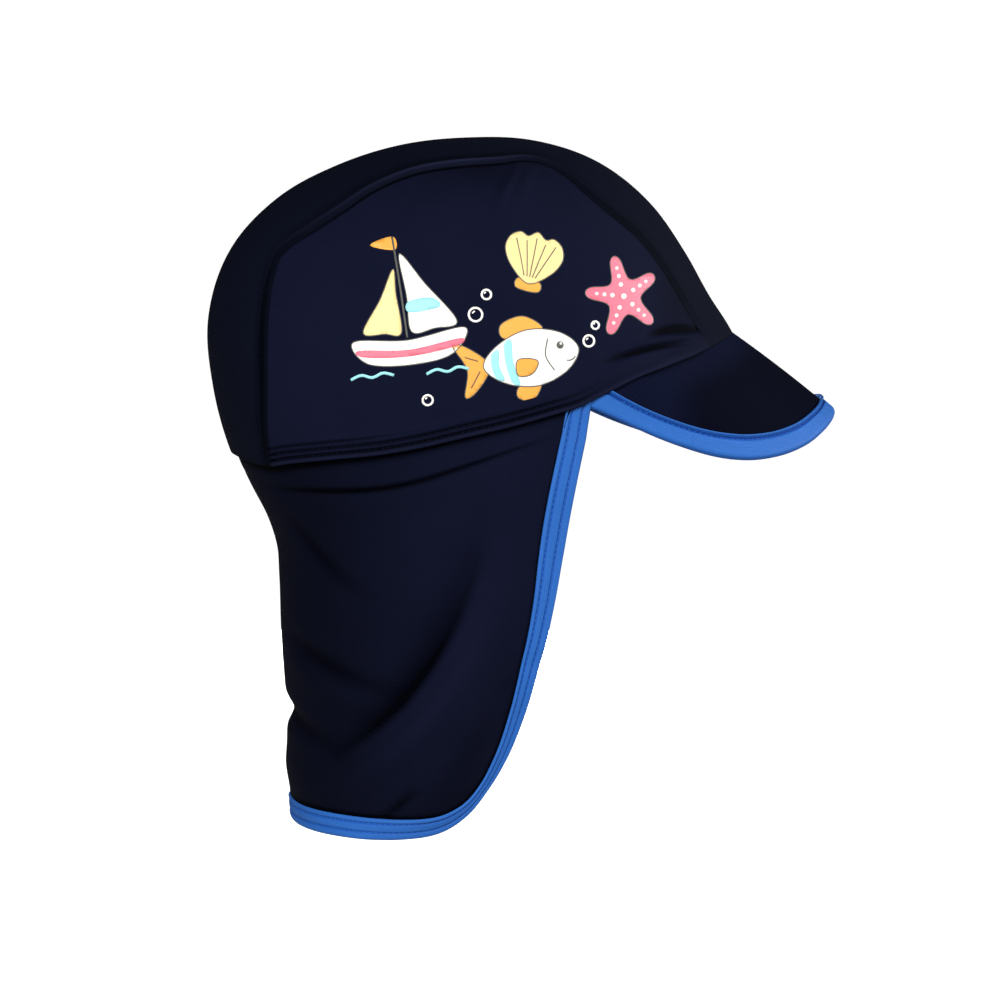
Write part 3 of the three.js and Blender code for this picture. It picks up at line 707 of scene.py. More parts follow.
def flap_edge_place(share, inward):
    """Turn and height at distances inward from the cloth's edge, by the share of the way round."""
    def place(s):
        part = np.where(s > 1, 2 - s, s)
        return np.where(s > 1, -1, 1) * flap_edge_turn(part), flap_edge_z(part)

    step = 0.01
    turn, z = place(share)
    turn_before, z_before = place(np.maximum(0, share - step))
    turn_after, z_after = place(np.minimum(2, share + step))
    run = (turn_after - turn_before) * FLAP_MM_PER_DEGREE
    drop = z_after - z_before
    scale = (inward + FLAP_EDGE_INSET) / np.hypot(run, drop)
    return turn + scale * drop / FLAP_MM_PER_DEGREE, z - scale * run


def whole_way(table_value, share):
    """A table's value for a share of the way round that runs on past the middle of the back to 2."""
    return table_value(np.where(share > 1, 2 - share, share))


def axis_of(points):
    """The flap's middle axis at each point's height."""
    return np.stack([0 * points[..., 0] + DOME_X, 0 * points[..., 1], points[..., 2]], -1)


def neck_flap(material):
    """The flap, from inside the crown's hem down to its edge under the tape."""
    share = np.linspace(0, 2, 400)[:, None]
    last_part = 0.05
    near_tape = 1 - last_part * np.linspace(1, 0, 12)[1:] ** 1.25
    down = np.concatenate([(1 - last_part) * np.linspace(0, 1, 104) ** 1.2, near_tape])[None, :]
    top_turn = FLAP_EDGE["turn"][0] * (1 - share)
    top_z = crown_edge_point(180 - np.abs(top_turn), 1)[..., 2] + FLAP_TUCK
    tape_turn, tape_z = flap_edge_place(share, whole_way(flap_tape_width, share))
    edge_turn, edge_z = flap_edge_place(share, 0)
    under_tape_turn = lerp(tape_turn, edge_turn, 0.5)
    under_tape_z = lerp(tape_z, edge_z, 0.5)
    turn = np.concatenate([lerp(top_turn, tape_turn, down), under_tape_turn, edge_turn], 1)
    z = np.concatenate([lerp(top_z, tape_z, down), under_tape_z, edge_z], 1)
    surface = flap_points(turn, z)
    normals = surface_normals(surface, axis_of(surface))
    inner = surface - normals * FLAP_WALL
    uv = np.stack([turn * FLAP_MM_PER_DEGREE, z], -1)
    away = np.abs(turn)
    below = crown_edge_point(180 - away, 1)[..., 2] - z
    band = bump(below, band_depth(away) + BAND_SHADE["at"], BAND_SHADE["width"]) * band_step(away)
    run = lengths_along(surface, 1)
    from_tape = run[:, down.size - 1:down.size] - run
    # Painted shade: darker towards the nape, below the band, under the hem, beside the tape and along the
    # folds
    painted_shade = lerp(NAPE_SHADE, FRONT_SHADE, past(away, NAPE_TURN)) + BAND_SHADE["dark"] * band
    painted_shade += bump(below, 0, HEM_SHADOW)
    painted_shade += TAPE_SHADOW["dark"] * bump(from_tape, TAPE_SHADOW["at"], TAPE_SHADOW["width"])
    painted_shade += flap_folds(turn, z)[1]
    return shell("flap_cloth", surface, inner, uv, material, {"painted_highlight": 0 * turn, "painted_shade": painted_shade})


# Peak

peak_edge_z = curve_through(PEAK_EDGE, "round", "z")
peak_tape_width = curve_through(PEAK_TAPE, "round", "width")


def peak_points(across, along):
    """Points of the peak's top: across is -1 to 1 from right to left, along 0 to 1 from root to edge.

    The root joins the crown's hem smoothly in front, and at its ends it runs up inside the hem."""
    across, along = np.broadcast_arrays(across, along)
    side = np.where(across < 0, -1.0, 1.0)
    out_by = np.abs(across)
    turned = out_by * 90
    root = crown_edge_point(out_by * PEAK_CORNER_ANGLE, side)
    root[..., 2] += PEAK_CORNER_TUCK * past(out_by, PEAK_ZONES["tuck"])
    root[..., 1] = side * crown_half_width_at(root[..., 0], root[..., 2])
    inset = lerp(PEAK_FRONT_INSET, PEAK_ROOT_INSET, past(out_by, PEAK_ZONES["front"]))
    inset = lerp(inset, PEAK_CORNER_INSET, past(out_by, PEAK_ZONES["corner"]))
    root = root - crown_normal(root) * inset[..., None]
    forward = np.cos(np.radians(turned)).clip(0) ** (2 / PEAK_ROUNDNESS)
    sideways = np.sin(np.radians(turned)) ** (2 / PEAK_ROUNDNESS)
    edge = np.stack([lerp(PEAK_CORNER_X, PEAK_TIP_X, forward), side * PEAK_HALF_WIDTH * sideways,
                     peak_edge_z(turned)], -1)
    length = np.linalg.norm(edge - root, axis=-1)
    points = lerp(root, edge, along[..., None])
    points[..., 2] += PEAK_RISE * 4 * along * (1 - along) * np.minimum(1, length / 30)
    return points, length


def peak_surface(across, along):
    """Points of the peak's top, its normals there and its length from root to edge."""
    points, length = peak_points(across, along)
    step = 0.004
    middle = np.clip(across, step - 0.995, 0.995 - step)
    run = peak_points(middle + step, along)[0] - peak_points(middle - step, along)[0]
    out = peak_points(across, along + step)[0] - peak_points(across, along - step)[0]
    return points, unit(np.cross(out, run)), length


def peak(material):
    """The peak: a soft wall from the crown's lower edge to the tape."""
    across = np.linspace(-1, 1, 150)[:, None]
    along = steps_closer_at_ends(40, 6, 0.05)[None, :]
    surface, normals, length = peak_surface(across, along)
    ends = np.minimum(lengths_along(surface, 0), lengths_along(surface[::-1], 0)[::-1])
    border = np.minimum(ends, length * (1 - along))
    outer, inner = cloth_walls(surface, normals, PEAK_WALL, border, 0 * border)
    uv = np.stack([surface[..., 1], surface[..., 0]], -1)
    from_root = length * along
    # Painted shade along the root near the corners and over the front of the peak
    seam_shade = bump(from_root, 0, PEAK_SEAM_WIDTH) * past(np.abs(across), PEAK_ZONES["seam"])
    front_shade = past(surface[..., 0], PEAK_SHADE_X) * past(from_root, PEAK_SHADE_LENGTH)
    return shell("peak_cloth", outer, inner, uv, material,
                 {"painted_highlight": 0 * border, "painted_shade": seam_shade + PEAK_SHADE * front_shade})


# Folded tapes

FOLD_STEPS = 11
FOLD_WIDTH = 3.0
FOLD_SHADE = 0.5
LEAST_EDGE = 0.1


def folded_tape(name, cloth, normals, inward, wall, height, base, material, grooves):
    """A tape folded round a cloth's edge.

    cloth is a grid of the cloth's outer surface, one row for each station, from its edge inwards, and
    height how far the tape stands over the cloth, station by station and by the distance inward."""
    outward = unit(cloth[:, 0] - cloth[:, 1])[:, None]
    fold_angles = np.radians(np.linspace(0, 180, FOLD_STEPS))[1:-1][None, :, None]
    middle = cloth[:, :1] - normals[:, :1] * wall / 2

    def around(lift):
        over = cloth[:, ::-1] + normals[:, ::-1] * lift[:, ::-1, None]
        radius = (wall / 2 + lift[:, :1])[..., None]
        fold = middle + radius * (np.cos(fold_angles) * normals[:, :1] + np.sin(fold_angles) * outward)
        under = cloth - normals * (wall + lift[..., None])
        return np.concatenate([over, fold, under], 1)

    outer = around(height)
    inner = around(0 * height + base)
    fold_count = fold_angles.shape[1]
    fold_width = np.linspace(0, -FOLD_WIDTH, fold_count + 2)[1:-1]
    v = np.concatenate([inward[::-1], fold_width, -FOLD_WIDTH - inward])
    # Painted shade in the tape's grooves and round its fold
    edge_shade = FOLD_SHADE * np.sin(np.linspace(0, np.pi, fold_count))
    groove = np.concatenate([grooves[::-1], edge_shade, grooves])
    u = lengths_along(cloth[:, :1], 0)
    uv = np.stack(np.broadcast_arrays(u, v[None, :]), -1)
    marks = {"painted_highlight": 0 * uv[..., 0], "groove": np.broadcast_to(groove[None, :], uv.shape[:2]).copy()}
    return shell(name, outer, inner, uv, material, marks)


def end_taper(points, length, least):
    """1 along a tape, and less near its two ends, where the hem presses it flat."""
    run = lengths_along(points, 0)[:, 0]
    gap = np.minimum(run, run[-1] - run)
    return lerp(least, 1, smooth(gap / length))[:, None]


# Each tape's cross section is drawn at its widest, and squeezed where the tape narrows
FLAP_TAPE_FULL = 7.2
FLAP_TAPE_HEIGHT = 0.8
FLAP_TAPE_BASE = 0.05
FLAP_TAPE_ROWS = (1.8, 5.2)
FLAP_TAPE_EDGE = 0.7
FLAP_TAPE_GROOVE = {"depth": 0.55, "width": 0.42}
FLAP_TAPE_END = {"length": 4.0, "least": 0.35}
FLAP_TAPE_UP = 6.0
FLAP_TAPE_UP_SHARE = 0.06


def flap_tape_surface(inward, count=420):
    """The flap's surface along its edge, run on upwards under the crown's hem at both ends."""
    share = np.linspace(0, 2, count)[:, None]
    squeezed = inward[None, :] * whole_way(flap_tape_width, share) / FLAP_TAPE_FULL
    turn, z = flap_edge_place(share, squeezed)
    z = z + FLAP_TAPE_UP * np.clip(1 - np.minimum(share, 2 - share) / FLAP_TAPE_UP_SHARE, 0, 1)
    surface = flap_points(turn, z)
    return surface, surface_normals(surface, axis_of(surface))


def flap_tape_lift(inward):
    """The tape is domed between its edges, with a groove under each row of stitches."""
    edge = np.sqrt(np.clip((FLAP_TAPE_FULL - inward) / FLAP_TAPE_EDGE, LEAST_EDGE, 1))
    grooves = sum(bump(inward, row, FLAP_TAPE_GROOVE["width"]) for row in FLAP_TAPE_ROWS)
    return FLAP_TAPE_HEIGHT * edge - FLAP_TAPE_GROOVE["depth"] * grooves, grooves


def flap_tape(material):
    inward = FLAP_TAPE_FULL * np.linspace(0, 1, 30)
    surface, normals = flap_tape_surface(inward)
    lift, grooves = flap_tape_lift(inward)
    height = lift[None, :] * end_taper(surface, **FLAP_TAPE_END)
    return folded_tape("flap_tape", surface, normals, inward, FLAP_WALL, height, FLAP_TAPE_BASE,
                       material, grooves)


PEAK_TAPE_FULL = 9.4
PEAK_TAPE_HEIGHT = 0.9
PEAK_TAPE_BASE = 0.05
PEAK_WELT_AT = 8.6
PEAK_WELT_WIDTH = 0.7
PEAK_WELT_RISE = 0.8
PEAK_GROOVE_AT = 7.1
# The stitched groove of the peak's tape: its depth, its width and how much shade is painted in it
PEAK_GROOVE = {"depth": 0.85, "width": 0.7, "dark": 1.3}
PEAK_TAPE_EDGE = 0.5
PEAK_TAPE_END = {"length": 5.0, "least": 0.8}
PEAK_TAPE_IN_HEM = (0, 1.6)
PEAK_TAPE_PRESSED = 0.8


def peak_tape_surface(inward, count=240):
    across = np.linspace(-1, 1, count)[:, None]
    _, length = peak_points(across, np.ones((1, 1)))
    width = np.minimum(peak_tape_width(90 * np.abs(across)), length)
    surface, normals, _ = peak_surface(across, 1 - inward[None, :] / PEAK_TAPE_FULL * width / length)
    return surface, normals


def peak_tape_lift(inward):
    """The tape lies smooth, dips at its stitches and ends in a round welt."""
    edge = np.sqrt(np.clip((PEAK_TAPE_FULL - inward) / PEAK_TAPE_EDGE, LEAST_EDGE, 1))
    groove = bump(inward, PEAK_GROOVE_AT, PEAK_GROOVE["width"])
    welt = bump(inward, PEAK_WELT_AT, PEAK_WELT_WIDTH)
    lift = PEAK_TAPE_HEIGHT * edge + PEAK_WELT_RISE * welt - PEAK_GROOVE["depth"] * groove
    # Also how much shade is painted in the groove
    return lift, PEAK_GROOVE["dark"] * groove


def peak_tape(material):
    inward = PEAK_TAPE_FULL * np.linspace(0, 1, 40)
    surface, normals = peak_tape_surface(inward)
    lift, groove = peak_tape_lift(inward)
    inside_hem = past(surface[..., 2] - crown_edge_height(surface[..., 0]), PEAK_TAPE_IN_HEM)
    height = lift[None, :] * end_taper(surface, **PEAK_TAPE_END) * (1 - PEAK_TAPE_PRESSED * inside_hem)
    return folded_tape("peak_tape", surface, normals, inward, PEAK_WALL, height, PEAK_TAPE_BASE,
                       material, groove)


# Stitches

def stitch_tree():
    """Geometry Nodes that lay one small stitch after another along each line of a mesh."""
    tree = bpy.data.node_groups.new("Row of stitches", "GeometryNodeTree")
    face = tree.interface
    face.new_socket("Geometry", in_out="INPUT", socket_type="NodeSocketGeometry")
    for name, value in (("Pitch", STITCH_PITCH), ("Length", STITCH_LENGTH), ("Thread", THREAD)):
        socket = face.new_socket(name, in_out="INPUT", socket_type="NodeSocketFloat")
        socket.default_value = value * MM
    face.new_socket("Seed", in_out="INPUT", socket_type="NodeSocketInt")
    face.new_socket("Material", in_out="INPUT", socket_type="NodeSocketMaterial")
    face.new_socket("Geometry", in_out="OUTPUT", socket_type="NodeSocketGeometry")
    nodes, links = tree.nodes, tree.links
    given = nodes.new("NodeGroupInput")
    done = nodes.new("NodeGroupOutput")
    to_curve = nodes.new("GeometryNodeMeshToCurve")
    to_points = nodes.new("GeometryNodeCurveToPoints")
    to_points.mode = "LENGTH"
    ball = nodes.new("GeometryNodeMeshUVSphere")
    ball.inputs["Segments"].default_value = 6
    ball.inputs["Rings"].default_value = 5
    ball.inputs["Radius"].default_value = 0.5
    size = nodes.new("ShaderNodeCombineXYZ")
    shape = nodes.new("GeometryNodeTransform")
    vary = nodes.new("FunctionNodeRandomValue")
    vary.data_type = "FLOAT_VECTOR"
    vary.inputs["Min"].default_value = (-STITCH_TWIST,) * 3
    vary.inputs["Max"].default_value = (STITCH_TWIST,) * 3
    turn = nodes.new("FunctionNodeRotateRotation")
    turn.rotation_space = "LOCAL"
    lay = nodes.new("GeometryNodeInstanceOnPoints")
    real = nodes.new("GeometryNodeRealizeInstances")
    finish = nodes.new("GeometryNodeSetMaterial")
    links.new(given.outputs["Geometry"], to_curve.inputs["Mesh"])
    links.new(to_curve.outputs["Curve"], to_points.inputs["Curve"])
    links.new(given.outputs["Pitch"], to_points.inputs["Length"])
    links.new(given.outputs["Thread"], size.inputs["X"])
    links.new(given.outputs["Thread"], size.inputs["Y"])
    links.new(given.outputs["Length"], size.inputs["Z"])
    links.new(ball.outputs["Mesh"], shape.inputs["Geometry"])
    links.new(size.outputs["Vector"], shape.inputs["Scale"])
    links.new(given.outputs["Seed"], vary.inputs["Seed"])
    links.new(to_points.outputs["Rotation"], turn.inputs["Rotation"])
    links.new(vary.outputs["Value"], turn.inputs["Rotate By"])
    links.new(to_points.outputs["Points"], lay.inputs["Points"])
    links.new(shape.outputs["Geometry"], lay.inputs["Instance"])
    links.new(turn.outputs["Rotation"], lay.inputs["Rotation"])
    links.new(lay.outputs["Instances"], real.inputs["Geometry"])
    links.new(real.outputs["Geometry"], finish.inputs["Geometry"])
    links.new(given.outputs["Material"], finish.inputs["Material"])
    links.new(finish.outputs["Geometry"], done.inputs["Geometry"])
    return tree


def stitches(name, tree, lines, material, seed, pitch=STITCH_PITCH, length=STITCH_LENGTH):
    """One piece holding a row of stitches along each line of points."""
    vertices = np.concatenate(lines)
    edges = []
    start = 0
    for line in lines:
        edges += [(start + i, start + i + 1) for i in range(len(line) - 1)]
        start += len(line)
    path = bpy.data.meshes.new(name + "_path")
    path.from_pydata((vertices * MM).tolist(), edges, [])
    guide = bpy.data.objects.new(name + "_path", path)
    bpy.context.scene.collection.objects.link(guide)
    rows = guide.modifiers.new("rows", "NODES")
    rows.node_group = tree
    values = {"Pitch": pitch * MM, "Length": length * MM, "Thread": THREAD * MM,
              "Seed": seed, "Material": material}
    for item in tree.interface.items_tree:
        if item.in_out == "INPUT" and item.name in values:
            rows[item.identifier] = values[item.name]
    guide.update_tag()
    seen = guide.evaluated_get(bpy.context.evaluated_depsgraph_get())
    mesh = bpy.data.meshes.new_from_object(seen)
    mesh.name = name
    mesh.shade_smooth()
    bpy.data.objects.remove(guide)
    piece = bpy.data.objects.new(name, mesh)
    bpy.context.scene.collection.objects.link(piece)
    return piece


def crown_stitch_lines():
    """Rows along the side panels' hems, and one beside the ridge of each long seam."""
    lines = []
    for side in (-1, 1):
        seam_angle = np.linspace(SEAM_FRONT + 3, SEAM_BACK - 3, 320)
        base = crown_point(seam_angle, side * (centre_half_width(seam_angle) - SEAM_ROW_AT))
        lines.append(base + crown_normal(base) * 0.06)
        for row in HEM_ROWS["at"][:2]:
            base = crown_edge_point(np.linspace(*HEM_ROW_TURNS, 240), side) + np.array([0, 0, row])
            base[:, 1] = side * crown_half_width_at(base[:, 0], base[:, 2])
            lines.append(base + crown_normal(base) * 0.04)
    return lines


def tape_stitch_lines(surface_of, lift_of, rows, wall, trim):
    """Rows of stitches on a tape, on its outer and its inner side."""
    lines = []
    for row in rows:
        inward = np.array([row - 0.2, row, row + 0.2])
        surface, normals = surface_of(inward)
        lift, _ = lift_of(inward)
        height = lift[1] + 0.02
        outer = surface[:, 1] + normals[:, 1] * height
        inner = surface[:, 1] - normals[:, 1] * (height + wall)
        lines += [outer[trim:-trim], inner[trim:-trim]]
    return lines


# Print: a sea scene in flat colours, its outlines in mm about each motif's middle

def ring(rx, ry=None, count=40, at=(0, 0), turned=0.0):
    t = np.linspace(0, 2 * np.pi, count, endpoint=False)
    points = np.stack([rx * np.cos(t), (rx if ry is None else ry) * np.sin(t)], -1)
    c, s = np.cos(np.radians(turned)), np.sin(np.radians(turned))
    return points @ np.array([[c, s], [-s, c]]) + np.array(at)


def rounded(corners, count=7, closed=True):
    """A smooth line through corners."""
    p = np.array(corners, float)
    n = len(p)
    spans = n if closed else n - 1
    out = []
    for i in range(spans):
        if closed:
            a, b, c, d = p[i - 1], p[i], p[(i + 1) % n], p[(i + 2) % n]
        else:
            a, b, c, d = p[max(i - 1, 0)], p[i], p[i + 1], p[min(i + 2, n - 1)]
        for t in np.linspace(0, 1, count, endpoint=False):
            out.append(0.5 * (2 * b + (c - a) * t + (2 * a - 5 * b + 4 * c - d) * t ** 2
                              + (3 * b - 3 * c + d - a) * t ** 3))
    if not closed:
        out.append(p[-1])
    return np.array(out)


def line(ink, points, width, closed=False):
    """A line of ink: its points closely and evenly spaced, with its width."""
    p = np.array(points, float)
    if closed:
        p = np.vstack([p, p[:1]])
    run = np.concatenate([[0], np.cumsum(np.linalg.norm(np.diff(p, axis=0), axis=1))])
    count = max(4, int(run[-1] / LINE_STEP))
    places = np.linspace(0, run[-1], count)
    even = np.stack([np.interp(places, run, p[:, 0]), np.interp(places, run, p[:, 1])], -1)
    return ink, even[:-1] if closed else even, width, closed


def area(ink, outline):
    """A filled shape of ink."""
    return ink, np.array(outline, float), 0.0, True


def outlined(ink, outline):
    """A filled shape with a thin grey line round it."""
    return [area(ink, outline), line("grey", outline, OUTLINE, True)]


def sailboat():
    hull = rounded([(-15, -6), (-12, -12.5), (0, -14.2), (12, -12.5), (16.5, -5.5), (0, -7.2)])
    stripe = rounded([(-13.6, -8.6), (0, -9.9), (14.6, -8.4), (13.6, -10.4), (0, -11.8), (-12.7, -10.6)])
    main = rounded([(1.4, -5), (1.4, 5), (1.2, 17), (7, 8), (14.5, -3.6), (8, -4.8)], 9)
    jib = rounded([(-1.4, -5), (-1.4, 6), (-1.2, 13), (-6, 5), (-12, -3.8), (-6, -4.8)], 9)
    band = rounded([(1.6, 3.4), (8.2, 3.8), (10.2, 1), (1.6, 0.4)], 5)
    flag = rounded([(0.2, 18.2), (0.2, 22), (-6.5, 20.3)], 5)
    mast = [(0, -6.5), (0, 22)]
    waves = []
    for x, z in ((-17, -16.5), (4, -17.3)):
        ripples = [(x + k * 3, z + k % 2) for k in range(5)]
        waves.append(line("aqua", rounded(ripples, closed=False), 1.0))
    return (outlined("white", hull) + [area("pink", stripe)]
            + outlined("white", main) + outlined("yellow", jib)
            + [area("aqua", band), area("orange", flag), line("grey", mast, 0.7)] + waves)


def fish():
    body = rounded([(15, 0), (10, 6.2), (0, 9), (-10, 6.2),
                    (-15.5, 0.6), (-10, -5.6), (0, -8.6), (10, -6)])
    tail = rounded([(-13.5, 0.6), (-19, 7.4), (-23.5, 9), (-20.6, 0.8), (-23, -7.4), (-18.6, -6)])
    top_fin = rounded([(5, 8), (0, 13.4), (-7.5, 12.2), (-7, 7.6)])
    low_fin = rounded([(1, -8.2), (-2.5, -12.6), (-7, -10.8), (-5.5, -7.4)])
    side_fin = rounded([(1.5, -1), (-4.5, 0.6), (-5.5, -4.2), (-1, -4.6)])
    bands = []
    for x, h in ((-6.5, 6.8), (-11, 4.6)):
        bands.append(area("aqua", rounded([(x + 1.2, h), (x - 1.2, h - 0.6), (x - 2, 0),
                                           (x - 1.2, -h + 0.8), (x + 1.2, -h), (x + 0.4, 0)])))
    gill = line("grey", rounded([(6, 5), (4.2, 0), (6, -5)], closed=False), 0.4)
    smile = line("grey", rounded([(13.4, -2.2), (12, -3.1), (10.4, -2.8)], closed=False), 0.4)
    rays = [line("grey", [(-16.8, 1.2 + s), (-20.5, 3 * s)], OUTLINE) for s in (-1.6, 1.6)]
    eye = [area("grey", ring(1.15, at=(9.4, 2.2))), area("white", ring(0.4, at=(9.7, 2.6), count=12))]
    return (outlined("orange", tail) + outlined("orange", top_fin) + outlined("orange", low_fin)
            + [area("white", body)] + bands + [line("grey", body, OUTLINE, True)]
            + outlined("orange", side_fin) + eye + [gill, smile] + rays)


def starfish():
    corners = []
    for k in range(5):
        tip = np.radians(90 + 72 * k)
        dip = tip + np.radians(36)
        for aside, reach in ((-9, 12.6), (0, 14.2), (9, 12.6)):
            a = tip + np.radians(aside)
            corners.append((reach * np.cos(a), reach * np.sin(a)))
        corners.append((6.4 * np.cos(dip), 6.4 * np.sin(dip)))
    dots = []
    for k in range(5):
        arm = np.radians(90 + 72 * k)
        for j, r in enumerate((4.2, 7.2, 10)):
            middle = (r * np.cos(arm), r * np.sin(arm))
            dots.append(area("white", ring(0.8 - 0.1 * j, at=middle, count=14)))
    return outlined("pink", rounded(corners, 5)) + dots + [area("white", ring(1.0, count=16))]


def scallop():
    fan = rounded([(0, -9), (-7.5, -4), (-11, 2), (-10, 7), (-6.4, 9.4), (-3.4, 8.4),
                   (0, 10.6), (3.4, 8.4), (6.4, 9.4), (10, 7), (11, 2), (7.5, -4)])
    foot = rounded([(-4.6, -8), (0, -6.6), (4.6, -8), (4, -11.4), (-4, -11.4)])
    rib_ends = ((-7.6, 6.6), (-3.6, 6.6), (0, 8.2), (3.6, 6.6), (7.6, 6.6))
    ribs = [line("grey", [(0.28 * x, -6.4), (0.62 * x, 0), (x, z)], 0.36) for x, z in rib_ends]
    return outlined("orange", foot) + outlined("yellow", fan) + ribs


def bubble(radius):
    half = radius / 2
    shine = [(half * np.cos(a), half * np.sin(a)) for a in np.radians((100, 130, 160))]
    return [line("white", ring(radius, count=36), 0.75, True), line("white", shine, 0.5)]


# Each motif with its middle's x and z on the side panel, its size and how far it is turned
MOTIFS = (
    (sailboat, -37, -62, 1.25, 7),
    (fish, 8, -77.5, 1.14, 12),
    (starfish, 42, -56, 1.02, 12),
    (scallop, 9, -43, 0.95, -14),
    (lambda: bubble(2.4), -12, -62, 1, 0),
    (lambda: bubble(1.7), -8, -55, 1, 0),
    (lambda: bubble(2.0), 28.5, -71.5, 1, 0),
    (lambda: bubble(1.4), 31, -66, 1, 0),
    (lambda: bubble(1.8), -29, -92, 1, 0),
)
PRINT_ORDER = ("white", "aqua", "pink", "orange", "yellow", "grey")
PRINT_STEP = 1.6
PRINT_RISE = 0.05
PRINT_LAYER = 0.012
PRINT_DEPTH = 0.03
LINE_STEP = 0.8
OUTLINE = 0.34


def filled(outline):
    """Triangles that fill an outline, with points inside it close enough to follow a curved panel."""
    low, high = outline.min(0), outline.max(0)
    xs = np.arange(low[0] + PRINT_STEP / 2, high[0], PRINT_STEP)
    zs = np.arange(low[1] + PRINT_STEP / 2, high[1], PRINT_STEP)
    inner = [Vector((x, z)) for x in xs for z in zs]
    edge = [Vector(p) for p in outline.tolist()]
    count = len(edge)
    edges = [(i, (i + 1) % count) for i in range(count)]
    points, _, triangles, _, _, _ = delaunay_2d_cdt(edge + inner, edges, [], 1, 1e-5)
    return np.array([tuple(p) for p in points]), [tuple(t) for t in triangles]


def ribbon(points, width, closed):
    """Triangles that make a line as wide as it is drawn."""
    if closed:
        along = np.roll(points, -1, 0) - np.roll(points, 1, 0)
    else:
        along = np.gradient(points, axis=0)
    along = unit(along)
    aside = np.stack([-along[:, 1], along[:, 0]], -1) * width / 2
    count = len(points)
    triangles = []
    for i in range(count if closed else count - 1):
        j = (i + 1) % count
        triangles += [(i, j, j + count), (i, j + count, i + count)]
    return np.concatenate([points + aside, points - aside]), [t[::-1] for t in triangles]


def open_edges(triangles):
    """The directed edges that only one triangle uses."""
    edges = {e for a, b, c in triangles for e in ((a, b), (b, c), (c, a))}
    return [e for e in edges if (e[1], e[0]) not in edges]


def side_print(inks):
    """The print on the right side panel: thin layers of ink that follow the cloth."""
    vertices, faces, uvs, colours = [], [], [], []
    start = 0
    for draw, middle_x, middle_z, size, turned_by in MOTIFS:
        c, s = np.cos(np.radians(turned_by)), np.sin(np.radians(turned_by))
        place = np.array([[c, s], [-s, c]]) * size
        for layer, (ink, drawn, width, closed) in enumerate(draw()):
            flat = drawn @ place + np.array([middle_x, middle_z])
            points, triangles = ribbon(flat, width, closed) if width else filled(flat)
            x, z = points[:, 0], points[:, 1]
            base = np.stack([x, -crown_half_width_at(x, z), z], -1)
            normals = crown_normal(base)
            relief = panel_fold_relief(base)[:, None]
            rise = PRINT_RISE + PRINT_LAYER * layer
            vertices += [base + normals * (relief + rise), base + normals * (relief - PRINT_DEPTH)]
            count = len(points)
            made = [tuple(start + i for i in t) for t in triangles]
            made += [tuple(start + count + i for i in t[::-1]) for t in triangles]
            made += [(b + start, a + start, a + start + count, b + start + count)
                     for a, b in open_edges(triangles)]
            faces += made
            colours += [PRINT_ORDER.index(ink)] * len(made)
            uvs += [points, points]
            start += 2 * count
    return make_mesh("side_print", np.concatenate(vertices), faces, [inks[name] for name in PRINT_ORDER],
                     np.concatenate(uvs), colours)


# Materials

FULL_TURN = 6.2832
# How far a painted highlight pales the cloth, how much painted shade counts at most and how far it darkens
HIGHLIGHT_SHARE = 0.8
PAINTED_SHADE_MOST = 1.25
PAINTED_SHADE_LOSS = 0.75


def group_socket(tree, name, kind, value=None, out=False):
    socket = tree.interface.new_socket(name, in_out="OUTPUT" if out else "INPUT", socket_type=kind)
    if value is not None:
        socket.default_value = value
    return socket


def math_node(tree, operation, a, b=None, c=None):
    node = tree.nodes.new("ShaderNodeMath")
    node.operation = operation
    for i, value in enumerate((a, b, c)):
        if value is None:
            continue
        if isinstance(value, (int, float)):
            node.inputs[i].default_value = value
        else:
            tree.links.new(value, node.inputs[i])
    return node.outputs[0]


def knit_group():
    """Fine knit: rows of small V stitches, as a height and a shade, from cloth coordinates in mm."""
    tree = bpy.data.node_groups.new("Fine knit", "ShaderNodeTree")
    group_socket(tree, "Vector", "NodeSocketVector")
    group_socket(tree, "Wales per mm", "NodeSocketFloat", 1.9)
    group_socket(tree, "Courses per mm", "NodeSocketFloat", 1.5)
    group_socket(tree, "Height", "NodeSocketFloat", out=True)
    group_socket(tree, "Shade", "NodeSocketFloat", out=True)
    given = tree.nodes.new("NodeGroupInput")
    done = tree.nodes.new("NodeGroupOutput")
    split = tree.nodes.new("ShaderNodeSeparateXYZ")
    tree.links.new(given.outputs["Vector"], split.inputs[0])
    wales = math_node(tree, "MULTIPLY", split.outputs["X"], given.outputs["Wales per mm"])
    wale = math_node(tree, "FRACT", wales)
    off_middle = math_node(tree, "ABSOLUTE", math_node(tree, "SUBTRACT", wale, 0.5))
    aside = math_node(tree, "MULTIPLY", off_middle, 2.0)
    course = math_node(tree, "MULTIPLY", split.outputs["Y"], given.outputs["Courses per mm"])
    slanted = math_node(tree, "ADD", course, math_node(tree, "MULTIPLY", aside, 0.55))
    loop = math_node(tree, "SINE", math_node(tree, "MULTIPLY", slanted, FULL_TURN))
    dome = math_node(tree, "SUBTRACT", 1.0, math_node(tree, "MULTIPLY", aside, aside))
    wave = math_node(tree, "MULTIPLY_ADD", loop, 0.3, 0.7)
    height = math_node(tree, "MULTIPLY", dome, wave)
    tree.links.new(height, done.inputs["Height"])
    tree.links.new(math_node(tree, "MULTIPLY_ADD", height, 0.3, 0.82), done.inputs["Shade"])
    return tree


